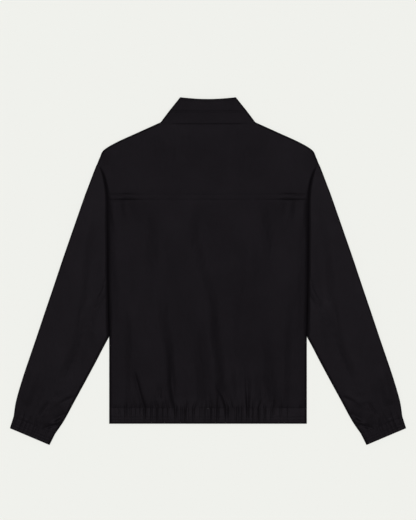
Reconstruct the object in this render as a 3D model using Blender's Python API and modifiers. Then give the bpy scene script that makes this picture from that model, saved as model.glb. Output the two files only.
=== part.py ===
"""A bomber jacket laid flat on its front with its back upwards, one closed solid for each sewn piece.

X runs across the jacket, Y from the hem to the collar and Z up from the surface that it lies on.
Every size and place below is in millimetres, and MM turns it into metres when a mesh is made.
The two halves are cut alike, so a place is given for the half at +X and side = -1 mirrors it.
"""

import math
from collections import namedtuple

import bmesh
import bpy
import numpy as np
from mathutils import Matrix

MM = 0.001

# Cloth and seams
WALL = 1.7
COLLAR_WALL = 2.2
BAND_WALL = 2.0
SEAM_GAP = 0.3
RIM_GAP = 0.45
BAND_RIM_GAP = 0.9

# Heights of the layers as they lie
TOP = 7.3
SEAM_LEVEL = 3.65
EDGE_ROUND = 4.5
ARMHOLE_RAISE = 2.4
ARMHOLE_ROUND_LESS = 2.0
FRONT_RIM_LOWER = 1.4
TURN_ROUND = 2.0
HEM_TURN_DROP = 1.6
END_TURN_DROP = 1.5
SEAM_DIP_WIDTH = 5.0

# The back rides over the collar's front and the slider
NECK_RISE = 3.2
NECK_RISE_HALF = 92.0
NECK_RISE_LOW_Y = 225.0
NECK_RISE_HIGH_Y = 312.0

# Outline of the body, back and fronts alike
NECK_HALF = 107.3
NECK_Y = 332.3
YOKE_Y = 160.0
UNDERARM_Y = -11.3
BAND_Y = -308.3
HEM_Y = -343.4
FRONT_EDGE_X = 5.4
FRONT_NECK_Y = 270.0

# Collar
COLLAR_TOP_HALF = 62.5
COLLAR_TOP_Y = 389.9
COLLAR_TOP_DIP = 3.3
COLLAR_FRONT_TOP_Y = 325.0
COLLAR_TOP_HEIGHT = 8.4
COLLAR_HEIGHT = COLLAR_TOP_Y - NECK_Y
COLLAR_CREASE_SHARE = 0.5
COLLAR_CREASE = 0.7
COLLAR_ROUND = 4.2

# Gathers in the hem band and the cuffs
HEM_GATHER_PITCH = 14.6
HEM_GATHER = 0.8
CUFF_GATHERS = 8
CUFF_GATHER = 0.6
CUFF_OUTER_END = (444.8, -350.1)
CUFF_INNER_END = (356.4, -389.9)

# Front zip: it lies face down, raised at its top by the slider and the pull under it
ZIP_LIFT = 3.5
ZIP_LIFT_LOW_Y = 262.0
ZIP_LIFT_HIGH_Y = 298.0
ZIP_LIFT_INNER_X = 22.0
ZIP_LIFT_OUTER_X = 62.0
CHAIN_HALF = 2.8
CHAIN_BOTTOM = 0.8
CHAIN_THICKNESS = 2.4
CHAIN_LOW_Y = -334.0
CHAIN_HIGH_Y = 313.5
TAPE_WIDTH = 13.0
TAPE_BOTTOM = 2.5
TAPE_THICKNESS = 1.0
SLIDER_Y = 313.0
SLIDER_LENGTH = 13.0
SLIDER_WIDTH = 10.0
SLIDER_PLATE = 0.9
SLIDER_NECK_HALF = 2.2
SLIDER_BAR_UP = 2.0
SLIDER_POST_INNER_X = 2.9
SLIDER_POST_OUTER_X = 4.1
PULL_DROP = 0.25
PULL_BAR_RADIUS = 0.6
PULL_EYE_HOLE = 0.85
PULL_EYE_RADIUS = 1.35
PULL_LENGTH = 22.0
PULL_WIDTH = 5.0
PULL_THICKNESS = 1.2
PULL_TILT = 2.2

# The body's side edge and armhole, from the hem to the head of the sleeve
BODY_EDGE_POINTS = (
    (222.3, -343.4), (222.3, -240.0), (222.4, -149.0), (223.8, -85.0), (225.2, -11.3), (225.8, 92.0),
    (226.5, 155.0), (228.3, 180.0), (231.7, 200.3), (236.2, 217.0), (240.7, 227.3), (248.8, 241.9),
)

# Heights along Y at which the back, the fronts and the sleeve all have a row of points on the armhole
ARMHOLE_ROWS = (-11.3, 45.0, 103.0, 155.0, 180.0, 200.0, 217.0, 227.0, 234.7)
SHOULDER_POINTS = (
    (248.8, 241.9), (243.4, 255.0), (234.5, 271.0), (205.7, 289.0), (156.5, 311.4), (NECK_HALF, NECK_Y),
)
COLLAR_EDGE_POINTS = ((NECK_HALF, NECK_Y), (86.6, 359.6), (COLLAR_TOP_HALF, COLLAR_TOP_Y))
FRONT_NECK_POINTS = ((FRONT_EDGE_X, FRONT_NECK_Y), (40.0, 278.0), (80.0, 300.0), (NECK_HALF, NECK_Y))

# Rows of the back and the fronts below the armhole, close together over the gathered hem
BACK_LOWER_ROWS = (-303.5, -295.0, -280.0, -258.0, -228.0, -190.0, -149.0, -85.0)
FRONT_LOWER_ROWS = (-275.0, -235.0, -190.0, -149.0, -85.0)

# Each row is a line across the flattened sleeve, from its inner edge to its outer edge.
# seam is how far the underarm seam lies from the inner edge, along that line.
Section = namedtuple("Section", "outer_x outer_y inner_x inner_y seam lift")
SLEEVE_SECTIONS = (
    Section(250.1, 239.4, 245.1, 234.7, 0.0, 0.0),
    Section(252.2, 233.8, 240.8, 227.0, 0.0, 0.2),
    Section(255.8, 223.7, 236.5, 217.0, 0.0, 0.4),
    Section(260.9, 209.2, 232.0, 200.0, 0.0, 0.6),
    Section(266.8, 192.0, 228.6, 180.0, 0.0, 0.8),
    Section(274.0, 171.3, 226.8, 155.0, 0.0, 0.9),
    Section(290.0, 125.0, 226.2, 103.0, 0.0, 1.0),
    Section(308.1, 73.3, 226.0, 45.0, 0.0, 1.0),
    Section(326.0, 24.0, 225.6, -11.3, 0.0, 1.1),
    Section(347.0, -38.5, 224.1, -85.0, 28.0, 1.5),
    Section(366.4, -94.2, 222.8, -149.0, 54.0, 1.7),
    Section(384.7, -146.5, 251.1, -201.4, 49.5, 1.5),
    Section(401.3, -194.6, 275.2, -246.4, 45.8, 1.4),
    Section(417.0, -242.8, 299.8, -291.4, 43.0, 1.2),
    Section(431.6, -291.8, 324.2, -336.4, 44.0, 0.8),
    Section(437.0, -327.2, 344.3, -366.2, 44.0, 0.0),
)

# Each row is a soft fold in the back: the path of its middle, how far it stands out, and how wide it is.
Fold = namedtuple("Fold", "height width path")
BACK_FOLDS = (
    Fold(-1.3, 9, ((-27, 148), (-25, 81), (-11, 14), (11, -65), (20, -144), (27, -223), (32, -279))),
    Fold(-1.1, 5, ((18, -256), (30, -284), (45, -306))),
    Fold(-1.3, 9, ((-101, -43), (-94, -110), (-88, -166), (-81, -234), (-74, -306))),
    Fold(-1.0, 6, ((-162, -227), (-154, -264), (-146, -302))),
    Fold(-0.6, 12, ((-131, 148), (-131, 36))),
    Fold(-0.6, 12, ((133, 148), (135, 14))),
    Fold(-0.8, 11, ((140, -110), (145, -200), (151, -290))),
    Fold(-0.8, 7, ((85, -211), (87, -306))),
    Fold(1.6, 22, ((-79, 126), (-74, 47), (-63, -43))),
    Fold(1.6, 18, ((-176, 2), (-176, -88), (-160, -166), (-135, -245))),
    Fold(1.6, 22, ((83, 126), (88, 25), (79, -110), (72, -178))),
    Fold(1.5, 20, ((175, 58), (175, -65), (169, -155))),
    Fold(1.1, 14, ((-55, -150), (-48, -230), (-40, -290))),
    Fold(1.0, 14, ((110, -230), (116, -290))),
)
SLEEVE_FOLDS = (
    Fold(1.4, 17, ((322, -20), (350, -95), (368, -150))),
    Fold(-1.0, 9, ((270, -2), (288, -60), (296, -112))),
    Fold(-1.1, 6, ((300, -272), (330, -300), (352, -318))),
    Fold(1.2, 11, ((382, -215), (398, -265), (408, -305))),
    Fold(-0.9, 7, ((356, -240), (376, -285), (392, -318))),
    Fold(0.9, 10, ((262, 150), (276, 100), (292, 55))),
)

CLOTH_BLACK = (0.0125, 0.0115, 0.013, 1.0)
BAND_BLACK = (0.015, 0.014, 0.0155, 1.0)
TAPE_BLACK = (0.009, 0.009, 0.01, 1.0)
METAL_BLACK = (0.03, 0.03, 0.032, 1.0)


def between_knots(knots, t):
    """A smooth curve through four knots in a row, at the share t of the way from the second to the third."""
    a, b, c, d = knots
    return 0.5 * (2 * b + (c - a) * t + (2 * a - 5 * b + 4 * c - d) * t**2 + (3 * b - 3 * c + d - a) * t**3)


class Path:
    """A curve of the plan through a few points, smooth or straight between them, read by the share of its length."""

    STEPS = 10

    def __init__(self, points, smooth=True):
        knots = np.array(points, float)
        if smooth and len(knots) > 2:
            ends = np.vstack([2 * knots[0] - knots[1], knots, 2 * knots[-1] - knots[-2]])
            t = np.linspace(0, 1, self.STEPS, endpoint=False)[:, None]
            curve = between_knots([ends[i : i + len(knots) - 1, None, :] for i in range(4)], t)
            knots = np.vstack([curve.reshape(-1, 2), knots[-1]])
        self.points = knots
        steps = np.linalg.norm(np.diff(knots, axis=0), axis=1)
        self.lengths = np.concatenate([[0.0], np.cumsum(steps)])
        self.length = self.lengths[-1]

    def at(self, share):
        place = np.asarray(share) * self.length
        return np.stack([np.interp(place, self.lengths, self.points[:, i]) for i in (0, 1)], axis=-1)

    def x_at(self, y):
        order = np.argsort(self.points[:, 1])
        return np.interp(y, self.points[order, 1], self.points[order, 0])

    def between(self, low, high):
        """The stretch of a path that climbs in Y, from Y = low to Y = high."""
        inside = self.points[(self.points[:, 1] > low) & (self.points[:, 1] < high)]
        return Path([(self.x_at(low), low), *inside, (self.x_at(high), high)], smooth=False)

    def mirrored(self):
        return Path(self.points * (-1, 1), smooth=False)

    def backwards(self):
        return Path(self.points[::-1], smooth=False)

    def distance(self, x, y):
        """How far each place is from the curve."""
        spot = np.stack([x, y], axis=-1)[..., None, :]
        start = self.points[:-1]
        run = np.diff(self.points, axis=0)
        share = np.clip(((spot - start) * run).sum(-1) / (run**2).sum(-1), 0, 1)
        return np.linalg.norm(spot - (start + share[..., None] * run), axis=-1).min(-1)


def joined(*paths):
    """Paths that follow one another, as one."""
    return Path(np.vstack([paths[0].points] + [path.points[1:] for path in paths[1:]]), smooth=False)


BODY_EDGE = Path(BODY_EDGE_POINTS)
SHOULDER = Path(SHOULDER_POINTS)
COLLAR_EDGE = Path(COLLAR_EDGE_POINTS)
HEM_HALF = float(BODY_EDGE.x_at(HEM_Y))


def ease(x, low, high):
    """0 up to low, 1 from high, and smooth between them."""
    t = np.clip((x - low) / (high - low), 0, 1)
    return t * t * (3 - 2 * t)


def rounding(distance, radius):
    """The height of a rounded edge, from 0 at the edge to 1 at radius in from it."""
    return np.sqrt(np.clip(1 - (1 - np.clip(distance / radius, 0, 1)) ** 2, 0, 1))


def groove(distance, depth, width):
    """How far cloth dips beside a seam."""
    return depth * np.clip(1 - distance / width, 0, 1) ** 2


# ---------------------------------------------------------------- heights


def gather_wave(x):
    """Waves of uneven spacing along the hem band, from -1 to 1, that die out at its smooth ends."""
    phase = x / HEM_GATHER_PITCH + 0.42 * np.sin(x / 41 + 0.6) + 0.2 * np.sin(x / 17)
    depth = 0.72 + 0.28 * np.sin(x / 23 + 1.1)
    return np.cos(2 * math.pi * phase) * depth * ease(HEM_HALF - np.abs(x), 10, 34)


def fold_height(folds, x, y):
    """The folds' height at each place: each one is a soft ridge or trough along its path."""
    height = np.zeros(np.shape(x))
    for fold in folds:
        height += fold.height * np.exp(-((Path(fold.path).distance(x, y) / fold.width) ** 2))
    return height


def neck_rise(x, y):
    """The back rides over the collar's front and the zip's slider, which lie under it."""
    return NECK_RISE * np.exp(-((x / NECK_RISE_HALF) ** 2)) * ease(y, NECK_RISE_LOW_Y, NECK_RISE_HIGH_Y)


def armhole_share(y):
    """0 at the underarm and 1 at the head of the sleeve."""
    return ease(y, UNDERARM_Y, ARMHOLE_ROWS[-1])


def edge_level(y):
    """Height of the cloth's edge at the side seam, and at the bottom of the armhole's groove above it."""
    return SEAM_LEVEL + ARMHOLE_RAISE * armhole_share(y)


def edge_round(y):
    return EDGE_ROUND - ARMHOLE_ROUND_LESS * armhole_share(y)


def turned_edge(distance, y):
    """The height of the side seam's full round, which softens into a shallow dip up the armhole."""
    full = rounding(distance, edge_round(y))
    shallow = 1 - (1 - np.clip(distance / edge_round(y), 0, 1)) ** 2
    return full + (shallow - full) * armhole_share(y)


def back_height(x, y):
    """Outer surface of the back, over the body, the yoke and the hem band alike, without its edges."""
    height = TOP + fold_height(BACK_FOLDS, x, y) + neck_rise(x, y)
    height += 0.9 * gather_wave(x) * HEM_GATHER * np.exp(-np.clip(y - BAND_Y, 0, None) / 26)
    height -= groove(np.abs(y - YOKE_Y), 0.8, SEAM_DIP_WIDTH)
    return height - groove(np.abs(y - BAND_Y), 1.0, SEAM_DIP_WIDTH)


def with_back_edges(x, y, height):
    """Turns the back's edge down at the side seam, the armhole and the shoulder."""
    level = edge_level(y) + RIM_GAP / 2
    side = level + (height - level) * turned_edge(BODY_EDGE.distance(np.abs(x), y), y)
    seam = SEAM_LEVEL + RIM_GAP / 2
    shoulder = seam + (height - seam) * rounding(SHOULDER.distance(np.abs(x), y), EDGE_ROUND)
    return np.minimum(side, shoulder)


def zip_lift(x, y):
    """How far the fronts stand off the surface, over the zip's pull."""
    near = 1 - ease(np.abs(x), ZIP_LIFT_INNER_X, ZIP_LIFT_OUTER_X)
    return ZIP_LIFT * near * ease(y, ZIP_LIFT_LOW_Y, ZIP_LIFT_HIGH_Y)


def front_rim(y):
    """Height to which the front's edge turns up at the side seam and the armhole."""
    return SEAM_LEVEL - RIM_GAP / 2 - FRONT_RIM_LOWER * armhole_share(y)


def front_height(x, y):
    """Outer surface of the fronts, which lie on the surface and turn up at their edges."""
    rest = zip_lift(x, y)
    rim = front_rim(y)
    side = rim + (rest - rim) * turned_edge(BODY_EDGE.distance(np.abs(x), y), y)
    seam = SEAM_LEVEL - RIM_GAP / 2
    shoulder = seam + (rest - seam) * rounding(SHOULDER.distance(np.abs(x), y), EDGE_ROUND)
    return np.maximum(side, shoulder)


# ---------------------------------------------------------------- meshes


def spread(start, end, inner):
    """Lines across a panel as (share, offset) pairs: start and end are distances in from its two edges."""
    share = np.linspace(0, 1, inner + 2)[1:-1]
    first, last = max(start), max(end)
    between = np.stack([share, first - (first + last) * share], axis=1)
    left = np.stack([np.zeros(len(start)), start], axis=1)
    right = np.stack([np.ones(len(end)), -np.array(end)], axis=1)[::-1]
    return np.vstack([left, between, right])


def edge_steps(radius):
    """Distances in from a rounded edge at which it is given points, the first two close together."""
    return [radius * (1 - math.cos(math.radians(angle))) for angle in (0, 7, 34, 62, 90)]


def panel_plan(bottom, top, left, right, columns, rows):
    """The places of a panel's points between its four boundary paths."""
    share = columns[:, 0]
    height = np.linalg.norm(top.at(share) - bottom.at(share), axis=-1)
    v = np.clip(rows[:, None, 0] + rows[:, None, 1] / height[None, :], 0, 1)
    width = np.linalg.norm(right.at(rows[:, 0]) - left.at(rows[:, 0]), axis=-1)
    u = np.clip(columns[None, :, 0] + columns[None, :, 1] / width[:, None], 0, 1)
    across = (1 - v)[..., None] * bottom.at(u) + v[..., None] * top.at(u)
    along = (1 - u)[..., None] * left.at(v) + u[..., None] * right.at(v)
    corners = [path.at(end) for path in (bottom, top) for end in (0.0, 1.0)]
    u, v = u[..., None], v[..., None]
    flat = (1 - v) * ((1 - u) * corners[0] + u * corners[1]) + v * ((1 - u) * corners[2] + u * corners[3])
    plan = across + along - flat
    return plan[..., 0], plan[..., 1]


def sheet_mesh(name, points, outward):
    """A grid of points as a mesh whose faces point outward: up, down, or away from its own middle."""
    rows, columns = points.shape[:2]
    mesh = bpy.data.meshes.new(name)
    made = bmesh.new()
    bmesh.ops.create_grid(made, x_segments=columns - 1, y_segments=rows - 1, size=1.0)
    for vert in made.verts:
        column = round((vert.co.x + 1) / 2 * (columns - 1))
        row = round((vert.co.y + 1) / 2 * (rows - 1))
        vert.co = points[row, column] * MM
    made.normal_update()
    middle = sum((vert.co for vert in made.verts), made.verts[:][0].co * 0) / len(made.verts)
    if outward == "away":
        facing = sum(
            (face.calc_center_median() - middle).dot(face.normal) * face.calc_area() for face in made.faces
        )
    else:
        facing = sum(face.normal.z * face.calc_area() for face in made.faces)
        facing *= 1 if outward == "up" else -1
    if facing < 0:
        bmesh.ops.reverse_faces(made, faces=made.faces)
    made.to_mesh(mesh)
    made.free()
    return mesh


def material(name, colour, roughness, metallic=0.0):
    finish = bpy.data.materials.get(name)
    if finish is None:
        finish = bpy.data.materials.new(name)
        finish.use_nodes = True
        shader = finish.node_tree.nodes["Principled BSDF"]
        shader.inputs["Base Color"].default_value = colour
        shader.inputs["Roughness"].default_value = roughness
        shader.inputs["Metallic"].default_value = metallic
        finish.diffuse_color = colour
    return finish


def add_piece(name, mesh, finish):
    piece = bpy.data.objects.new(name, mesh)
    piece.data.materials.append(finish)
    bpy.data.collections["bomber_jacket"].objects.link(piece)
    return piece


def cloth_piece(name, points, outward, wall, finish):
    """A sewn piece: its outer surface as a grid of points, given its wall inwards."""
    piece = add_piece(name, sheet_mesh(name, points, outward), finish)
    piece.data.shade_smooth()
    shell = piece.modifiers.new("wall", "SOLIDIFY")
    shell.thickness = wall * MM
    shell.offset = -1
    shell.use_rim = True
    return piece


def surface(x, y, z):
    return np.stack([x, y, z], axis=-1)


# ---------------------------------------------------------------- the body


def rows_at(side, levels):
    """Rows across a panel that meet its side path at the given heights along Y."""
    share = np.interp(levels, side.points[:, 1], side.lengths / side.length)
    return np.stack([share, np.zeros(len(share))], axis=1)


def top_rows(radius):
    """The rows of a rounded top edge, from where the round begins to the edge."""
    return np.array([(1.0, -step) for step in reversed(edge_steps(radius))])


def make_back_body(cloth):
    low, high = BAND_Y + SEAM_GAP / 2, YOKE_Y - SEAM_GAP / 2
    side = BODY_EDGE.between(low, high)
    bottom = Path([(-side.points[0, 0], low), (side.points[0, 0], low)])
    top = Path([(-side.points[-1, 0], high), (side.points[-1, 0], high)])
    edge = edge_steps(EDGE_ROUND)
    columns = spread(edge, edge, 40)
    rows = rows_at(side, (low, *BACK_LOWER_ROWS, *ARMHOLE_ROWS[:4], high))
    x, y = panel_plan(bottom, top, side.mirrored(), side, columns, rows)
    z = with_back_edges(x, y, back_height(x, y))
    cloth_piece("back_body", surface(x, y, z), "up", WALL, cloth)


def make_back_yoke(cloth):
    low = YOKE_Y + SEAM_GAP / 2
    side = BODY_EDGE.between(low, BODY_EDGE_POINTS[-1][1])
    half = side.points[0, 0]
    neck = Path([(NECK_HALF, NECK_Y), (-NECK_HALF, NECK_Y)])
    top = joined(SHOULDER, neck, SHOULDER.mirrored().backwards()).backwards()
    bottom = Path([(-half, low), (half, low)])
    edge = edge_steps(3.0)
    columns = spread(edge, edge, 24)
    rows = np.vstack([rows_at(side, (low, YOKE_Y + 5, *ARMHOLE_ROWS[4:])), top_rows(EDGE_ROUND)])
    x, y = panel_plan(bottom, top, side.mirrored(), side, columns, rows)
    z = with_back_edges(x, y, back_height(x, y))
    cloth_piece("back_yoke", surface(x, y, z), "up", WALL, cloth)


def make_front(side, cloth):
    low = BAND_Y + SEAM_GAP / 2
    outer = BODY_EDGE.between(low, BODY_EDGE_POINTS[-1][1])
    top = joined(Path(FRONT_NECK_POINTS), SHOULDER.backwards())
    bottom = Path([(FRONT_EDGE_X, low), (outer.points[0, 0], low)])
    centre = Path([(FRONT_EDGE_X, low), (FRONT_EDGE_X, FRONT_NECK_Y)])
    columns = spread([0.0], edge_steps(EDGE_ROUND), 6)
    rows = np.vstack([rows_at(outer, (low, *FRONT_LOWER_ROWS, *ARMHOLE_ROWS)), top_rows(EDGE_ROUND)])
    x, y = panel_plan(bottom, top, centre, outer, columns, rows)
    z = front_height(x, y)
    name = "front_right" if side > 0 else "front_left"
    cloth_piece(name, surface(side * x, y, z), "down", WALL, cloth)


def band_plan(inner_x, columns, rows):
    """The places of a hem band's points from inner_x to its outer edge."""
    high = BAND_Y - SEAM_GAP / 2
    bottom = Path([(inner_x, HEM_Y), (HEM_HALF, HEM_Y)])
    top = Path([(inner_x, high), (HEM_HALF, high)])
    left = Path([(inner_x, HEM_Y), (inner_x, high)])
    right = Path([(HEM_HALF, HEM_Y), (HEM_HALF, high)])
    return panel_plan(bottom, top, left, right, columns, rows)


def make_hem_back(band):
    edge = edge_steps(EDGE_ROUND)
    x, y = band_plan(-HEM_HALF, spread(edge, edge, 106), spread([0.0, 1.5], [0.0, 4.5], 1))
    swell = TOP + 0.2 + gather_wave(x) * HEM_GATHER * (0.45 + 0.55 * ease(y, HEM_Y, BAND_Y))
    swell -= groove(np.abs(y - BAND_Y), 1.0, SEAM_DIP_WIDTH)
    swell -= HEM_TURN_DROP * (1 - rounding(y - HEM_Y, TURN_ROUND))
    level = SEAM_LEVEL + BAND_RIM_GAP / 2
    z = level + (swell - level) * rounding(HEM_HALF - np.abs(x), EDGE_ROUND)
    cloth_piece("hem_back", surface(x, y, z), "up", BAND_WALL, band)


def make_hem_front(side, band):
    x, y = band_plan(FRONT_EDGE_X, spread([0.0], edge_steps(EDGE_ROUND), 13), spread([0.0, 1.5], [0.0], 2))
    rest = 0.5 * (1 - rounding(y - HEM_Y, TURN_ROUND))
    rim = SEAM_LEVEL - BAND_RIM_GAP / 2
    z = rim + (rest - rim) * rounding(HEM_HALF - x, EDGE_ROUND)
    name = "hem_front_right" if side > 0 else "hem_front_left"
    cloth_piece(name, surface(side * x, y, z), "down", BAND_WALL, band)


# ---------------------------------------------------------------- sleeves and cuffs


def sleeve_section(station):
    """The row of SLEEVE_SECTIONS at a station, where 0 is the first and whole numbers are the rows, smoothly."""
    table = np.array(SLEEVE_SECTIONS)
    padded = np.vstack([2 * table[0] - table[1], table, 2 * table[-1] - table[-2]])
    k = int(min(math.floor(station), len(table) - 2))
    section = Section(*between_knots(padded[k : k + 4], station - k))
    clear = max(section.inner_x, float(BODY_EDGE.x_at(section.inner_y)) + SEAM_GAP)
    return section._replace(inner_x=clear, seam=max(section.seam, 0.0))


def strip_arcs(seam_arc, quarter, count):
    """Places round the inner fold and up to the seam, measured from the fold, where -quarter is on the surface."""
    last = seam_arc - 0.35
    even = -quarter + (last + quarter) * np.arange(1, count) / (count - 1)
    turn = count - 2
    fold = -quarter + 2 * quarter * np.arange(1, turn + 1) / turn
    wide = ease(seam_arc, quarter, 3 * quarter)
    return np.append(even + (np.append(fold, last) - even) * wide, seam_arc)


# The faces of a flattened tube: back and front give their heights at x and y, counts the points on each and on
# the strip round the inner fold, and inner_level and front_level the heights at which they meet there.
Tube = namedtuple("Tube", "back front counts inner_level front_level")


def tube_row(outer, inner, seam, tube):
    """One line round a flattened sleeve or cuff, from its seam over the back, round under the front to the seam."""
    outer, inner = np.array(outer), np.array(inner)
    inner_y = inner[1]
    width = np.linalg.norm(outer - inner)
    toward = (outer - inner) / width
    outer_round = min(EDGE_ROUND, width / 3)
    radius = min(float(edge_round(inner_y)), width / 3)
    quarter = radius * math.pi / 2
    seam_arc = seam - radius + quarter if seam > radius else quarter * seam / radius
    turn = [outer_round * (1 - math.cos(math.radians(angle))) for angle in (90, 60, 32)]

    def along(arc):
        bend = np.minimum(np.abs(arc), quarter) / radius
        return radius * (1 - np.cos(bend)) + np.maximum(np.abs(arc) - quarter, 0)

    far = width - outer_round
    near = seam_arc + np.array([SEAM_GAP / 2, 0.5, 1.7, 3.3, 5.2, 7.6]) * min(1, 0.08 * (far - seam))
    inner_part = along(near)
    turn = np.array(turn)
    middle = inner_part[-1] + (far - inner_part[-1]) * np.linspace(0, 1, tube.counts[0] + 1)[1:-1]
    across_back = np.concatenate([inner_part, middle, width - turn, [width]])
    middle = far + (radius - far) * np.linspace(0, 1, tube.counts[1] + 1)[1:-1]
    across_front = np.concatenate([width - turn[::-1], middle, [radius]])
    arcs = strip_arcs(seam_arc - SEAM_GAP / 2, quarter, tube.counts[2])
    across = np.concatenate([across_back, across_front, along(arcs)])
    on_back = np.concatenate([np.ones(len(across_back)), np.zeros(len(across_front)), arcs > 0]).astype(bool)
    place = inner + across[:, None] * toward
    x, y = place[:, 0], place[:, 1]
    soft = float(armhole_share(inner_y))
    shallow = 1 - (1 - np.clip(across / radius, 0, 1)) ** 2
    turn_in = rounding(across, radius) * (1 - soft) + shallow * soft
    top = tube.inner_level + (tube.back(x, y) - tube.inner_level) * turn_in
    top -= groove(np.abs(across - seam), 0.8, SEAM_DIP_WIDTH) * (seam > radius)
    top = SEAM_LEVEL + (top - SEAM_LEVEL) * rounding(width - across, outer_round)
    low = tube.front_level + (tube.front(x, y) - tube.front_level) * turn_in
    low = SEAM_LEVEL + (low - SEAM_LEVEL) * rounding(width - across, outer_round)
    return surface(x, y, np.where(on_back, top, low))


def sleeve_gather(share):
    """Waves round the sleeve's end and the cuff, by the share of the way from the inner edge to the outer one."""
    wave = np.cos(2 * math.pi * (CUFF_GATHERS * share + 0.25 * np.sin(5 * share + 1)))
    return wave * ease(share, 0.02, 0.1) * ease(1 - share, 0.02, 0.1)


def share_across(x, y, outer, inner):
    """The share of the way from the inner to the outer end of a line, at places beside it."""
    run = np.array(outer) - np.array(inner)
    return ((x - inner[0]) * run[0] + (y - inner[1]) * run[1]) / (run @ run)


def sleeve_rows(stations, counts):
    """The sleeve's outer surface at +X, a row of points for each station."""
    last = len(SLEEVE_SECTIONS) - 1
    rows = []
    for station in stations:
        section = sleeve_section(station)
        outer, inner = (section.outer_x, section.outer_y), (section.inner_x, section.inner_y)
        near_cuff = math.exp(-(last - station) / 0.5)
        start_dip = 0.7 * math.exp(-station / 0.25) + 0.8 * math.exp(-(last - station) / 0.12)

        def back(x, y):
            wave = CUFF_GATHER * near_cuff * sleeve_gather(share_across(x, y, outer, inner))
            return TOP + section.lift + fold_height(SLEEVE_FOLDS, x, y) + wave - start_dip

        def front(x, y):
            return np.zeros(x.shape)

        above = section.inner_y > UNDERARM_Y
        inner_level = float(edge_level(section.inner_y)) if above else SEAM_LEVEL
        front_level = float(front_rim(section.inner_y)) if above else SEAM_LEVEL
        rows.append(tube_row(outer, inner, section.seam, Tube(back, front, counts, inner_level, front_level)))
    return np.array(rows)


def make_sleeve(side, cloth):
    last = len(SLEEVE_SECTIONS) - 1
    underarm = len(ARMHOLE_ROWS) - 1
    stations = [*range(underarm + 1), *(underarm + step for step in (0.15, 0.5))]
    stations += [*range(underarm + 1, last), last - 0.3, last - 0.1, last]
    points = sleeve_rows(stations, (7, 4, 7))
    points[..., 0] *= side
    name = "sleeve_right" if side > 0 else "sleeve_left"
    cloth_piece(name, points, "away", WALL, cloth)


def make_cuff(side, band):
    start = SLEEVE_SECTIONS[-1]
    start_outer, start_inner = np.array([start.outer_x, start.outer_y]), np.array([start.inner_x, start.inner_y])
    end_outer, end_inner = np.array(CUFF_OUTER_END), np.array(CUFF_INNER_END)
    length = np.linalg.norm(end_outer - start_outer)
    rows = []
    for down in (SEAM_GAP, 4.0, 0.5 * length, length - 1.5, length):
        share = down / length
        outer = start_outer + (end_outer - start_outer) * share
        inner = start_inner + (end_inner - start_inner) * share
        turned = END_TURN_DROP * (1 - float(rounding(length - down, TURN_ROUND)))
        dip = float(groove(down, 0.9, SEAM_DIP_WIDTH))
        swell = CUFF_GATHER * (0.5 + 0.5 * (1 - share))

        def back(x, y):
            return TOP + 0.2 + swell * sleeve_gather(share_across(x, y, outer, inner)) - turned - dip

        def front(x, y):
            return np.full(x.shape, 0.3 * turned)

        rows.append(tube_row(outer, inner, start.seam, Tube(back, front, (27, 7, 7), SEAM_LEVEL, SEAM_LEVEL)))
    points = np.array(rows)
    points[..., 0] *= side
    name = "cuff_right" if side > 0 else "cuff_left"
    cloth_piece(name, points, "away", BAND_WALL, band)


# ---------------------------------------------------------------- collar


def collar_front_y(bend, front_y, level_y):
    return front_y + (level_y - front_y) * (0.35 * bend + 0.65 * bend**2)


def collar_back_z(share, x):
    """Outer surface of the collar's back: a dip at the neck seam and a crease half way up, below its raised top."""
    up = share * COLLAR_HEIGHT
    start = TOP + neck_rise(x, NECK_Y)
    height = start + (COLLAR_TOP_HEIGHT - start) * ease(share, 0, 0.8)
    crease = COLLAR_CREASE * math.exp(-(((up - COLLAR_CREASE_SHARE * COLLAR_HEIGHT) / SEAM_DIP_WIDTH) ** 2))
    return height - crease - groove(up, 0.8, SEAM_DIP_WIDTH)


def collar_row(share):
    """One line along the collar, from the front edge at +X round the back to the other front edge."""
    half, level_y = COLLAR_EDGE.at(share)
    front_y = FRONT_NECK_Y + SEAM_GAP + (COLLAR_FRONT_TOP_Y - FRONT_NECK_Y) * share
    radius = COLLAR_ROUND
    span = half - FRONT_EDGE_X
    front_x = FRONT_EDGE_X + (span - radius) * np.linspace(0, 1, 6)
    front_line = collar_front_y((front_x - FRONT_EDGE_X) / span, front_y, level_y)
    turn = np.radians(np.array([-60, -30, 0, 30, 60]))
    turn_x = half - radius * (1 - np.cos(turn))
    turn_line = collar_front_y((turn_x - FRONT_EDGE_X) / span, front_y, level_y)
    turn_y = np.where(turn < 0, turn_line, level_y)
    back_x = (half - radius) * np.linspace(1, 0, 8)
    dip = COLLAR_TOP_DIP * ease(share, 0.6, 1)
    back_y = level_y - dip * np.cos(back_x / half * math.pi / 2)
    edge_turn = END_TURN_DROP * (1 - float(rounding((1 - share) * COLLAR_HEIGHT, TURN_ROUND)))
    back_z = collar_back_z(share, back_x) - edge_turn
    front_z = zip_lift(front_x, front_line) + 0.3 * edge_turn
    near_end = np.where(turn < 0, SEAM_LEVEL - front_z[-1], back_z[0] - SEAM_LEVEL)
    turn_z = SEAM_LEVEL + near_end * np.sin(turn)
    x = np.concatenate([front_x, turn_x, back_x])
    y = np.concatenate([front_line, turn_y, back_y])
    z = np.concatenate([front_z, turn_z, back_z])
    half_row = surface(x, y, z)
    return np.vstack([half_row, half_row[-2::-1] * (-1, 1, 1)])


def make_collar(band):
    shares = [0.006, 0.08, 0.4, 0.5, 0.6, 0.965, 1.0]
    points = np.array([collar_row(share) for share in shares])
    cloth_piece("collar", points, "away", COLLAR_WALL, band)


# ---------------------------------------------------------------- zip


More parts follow.
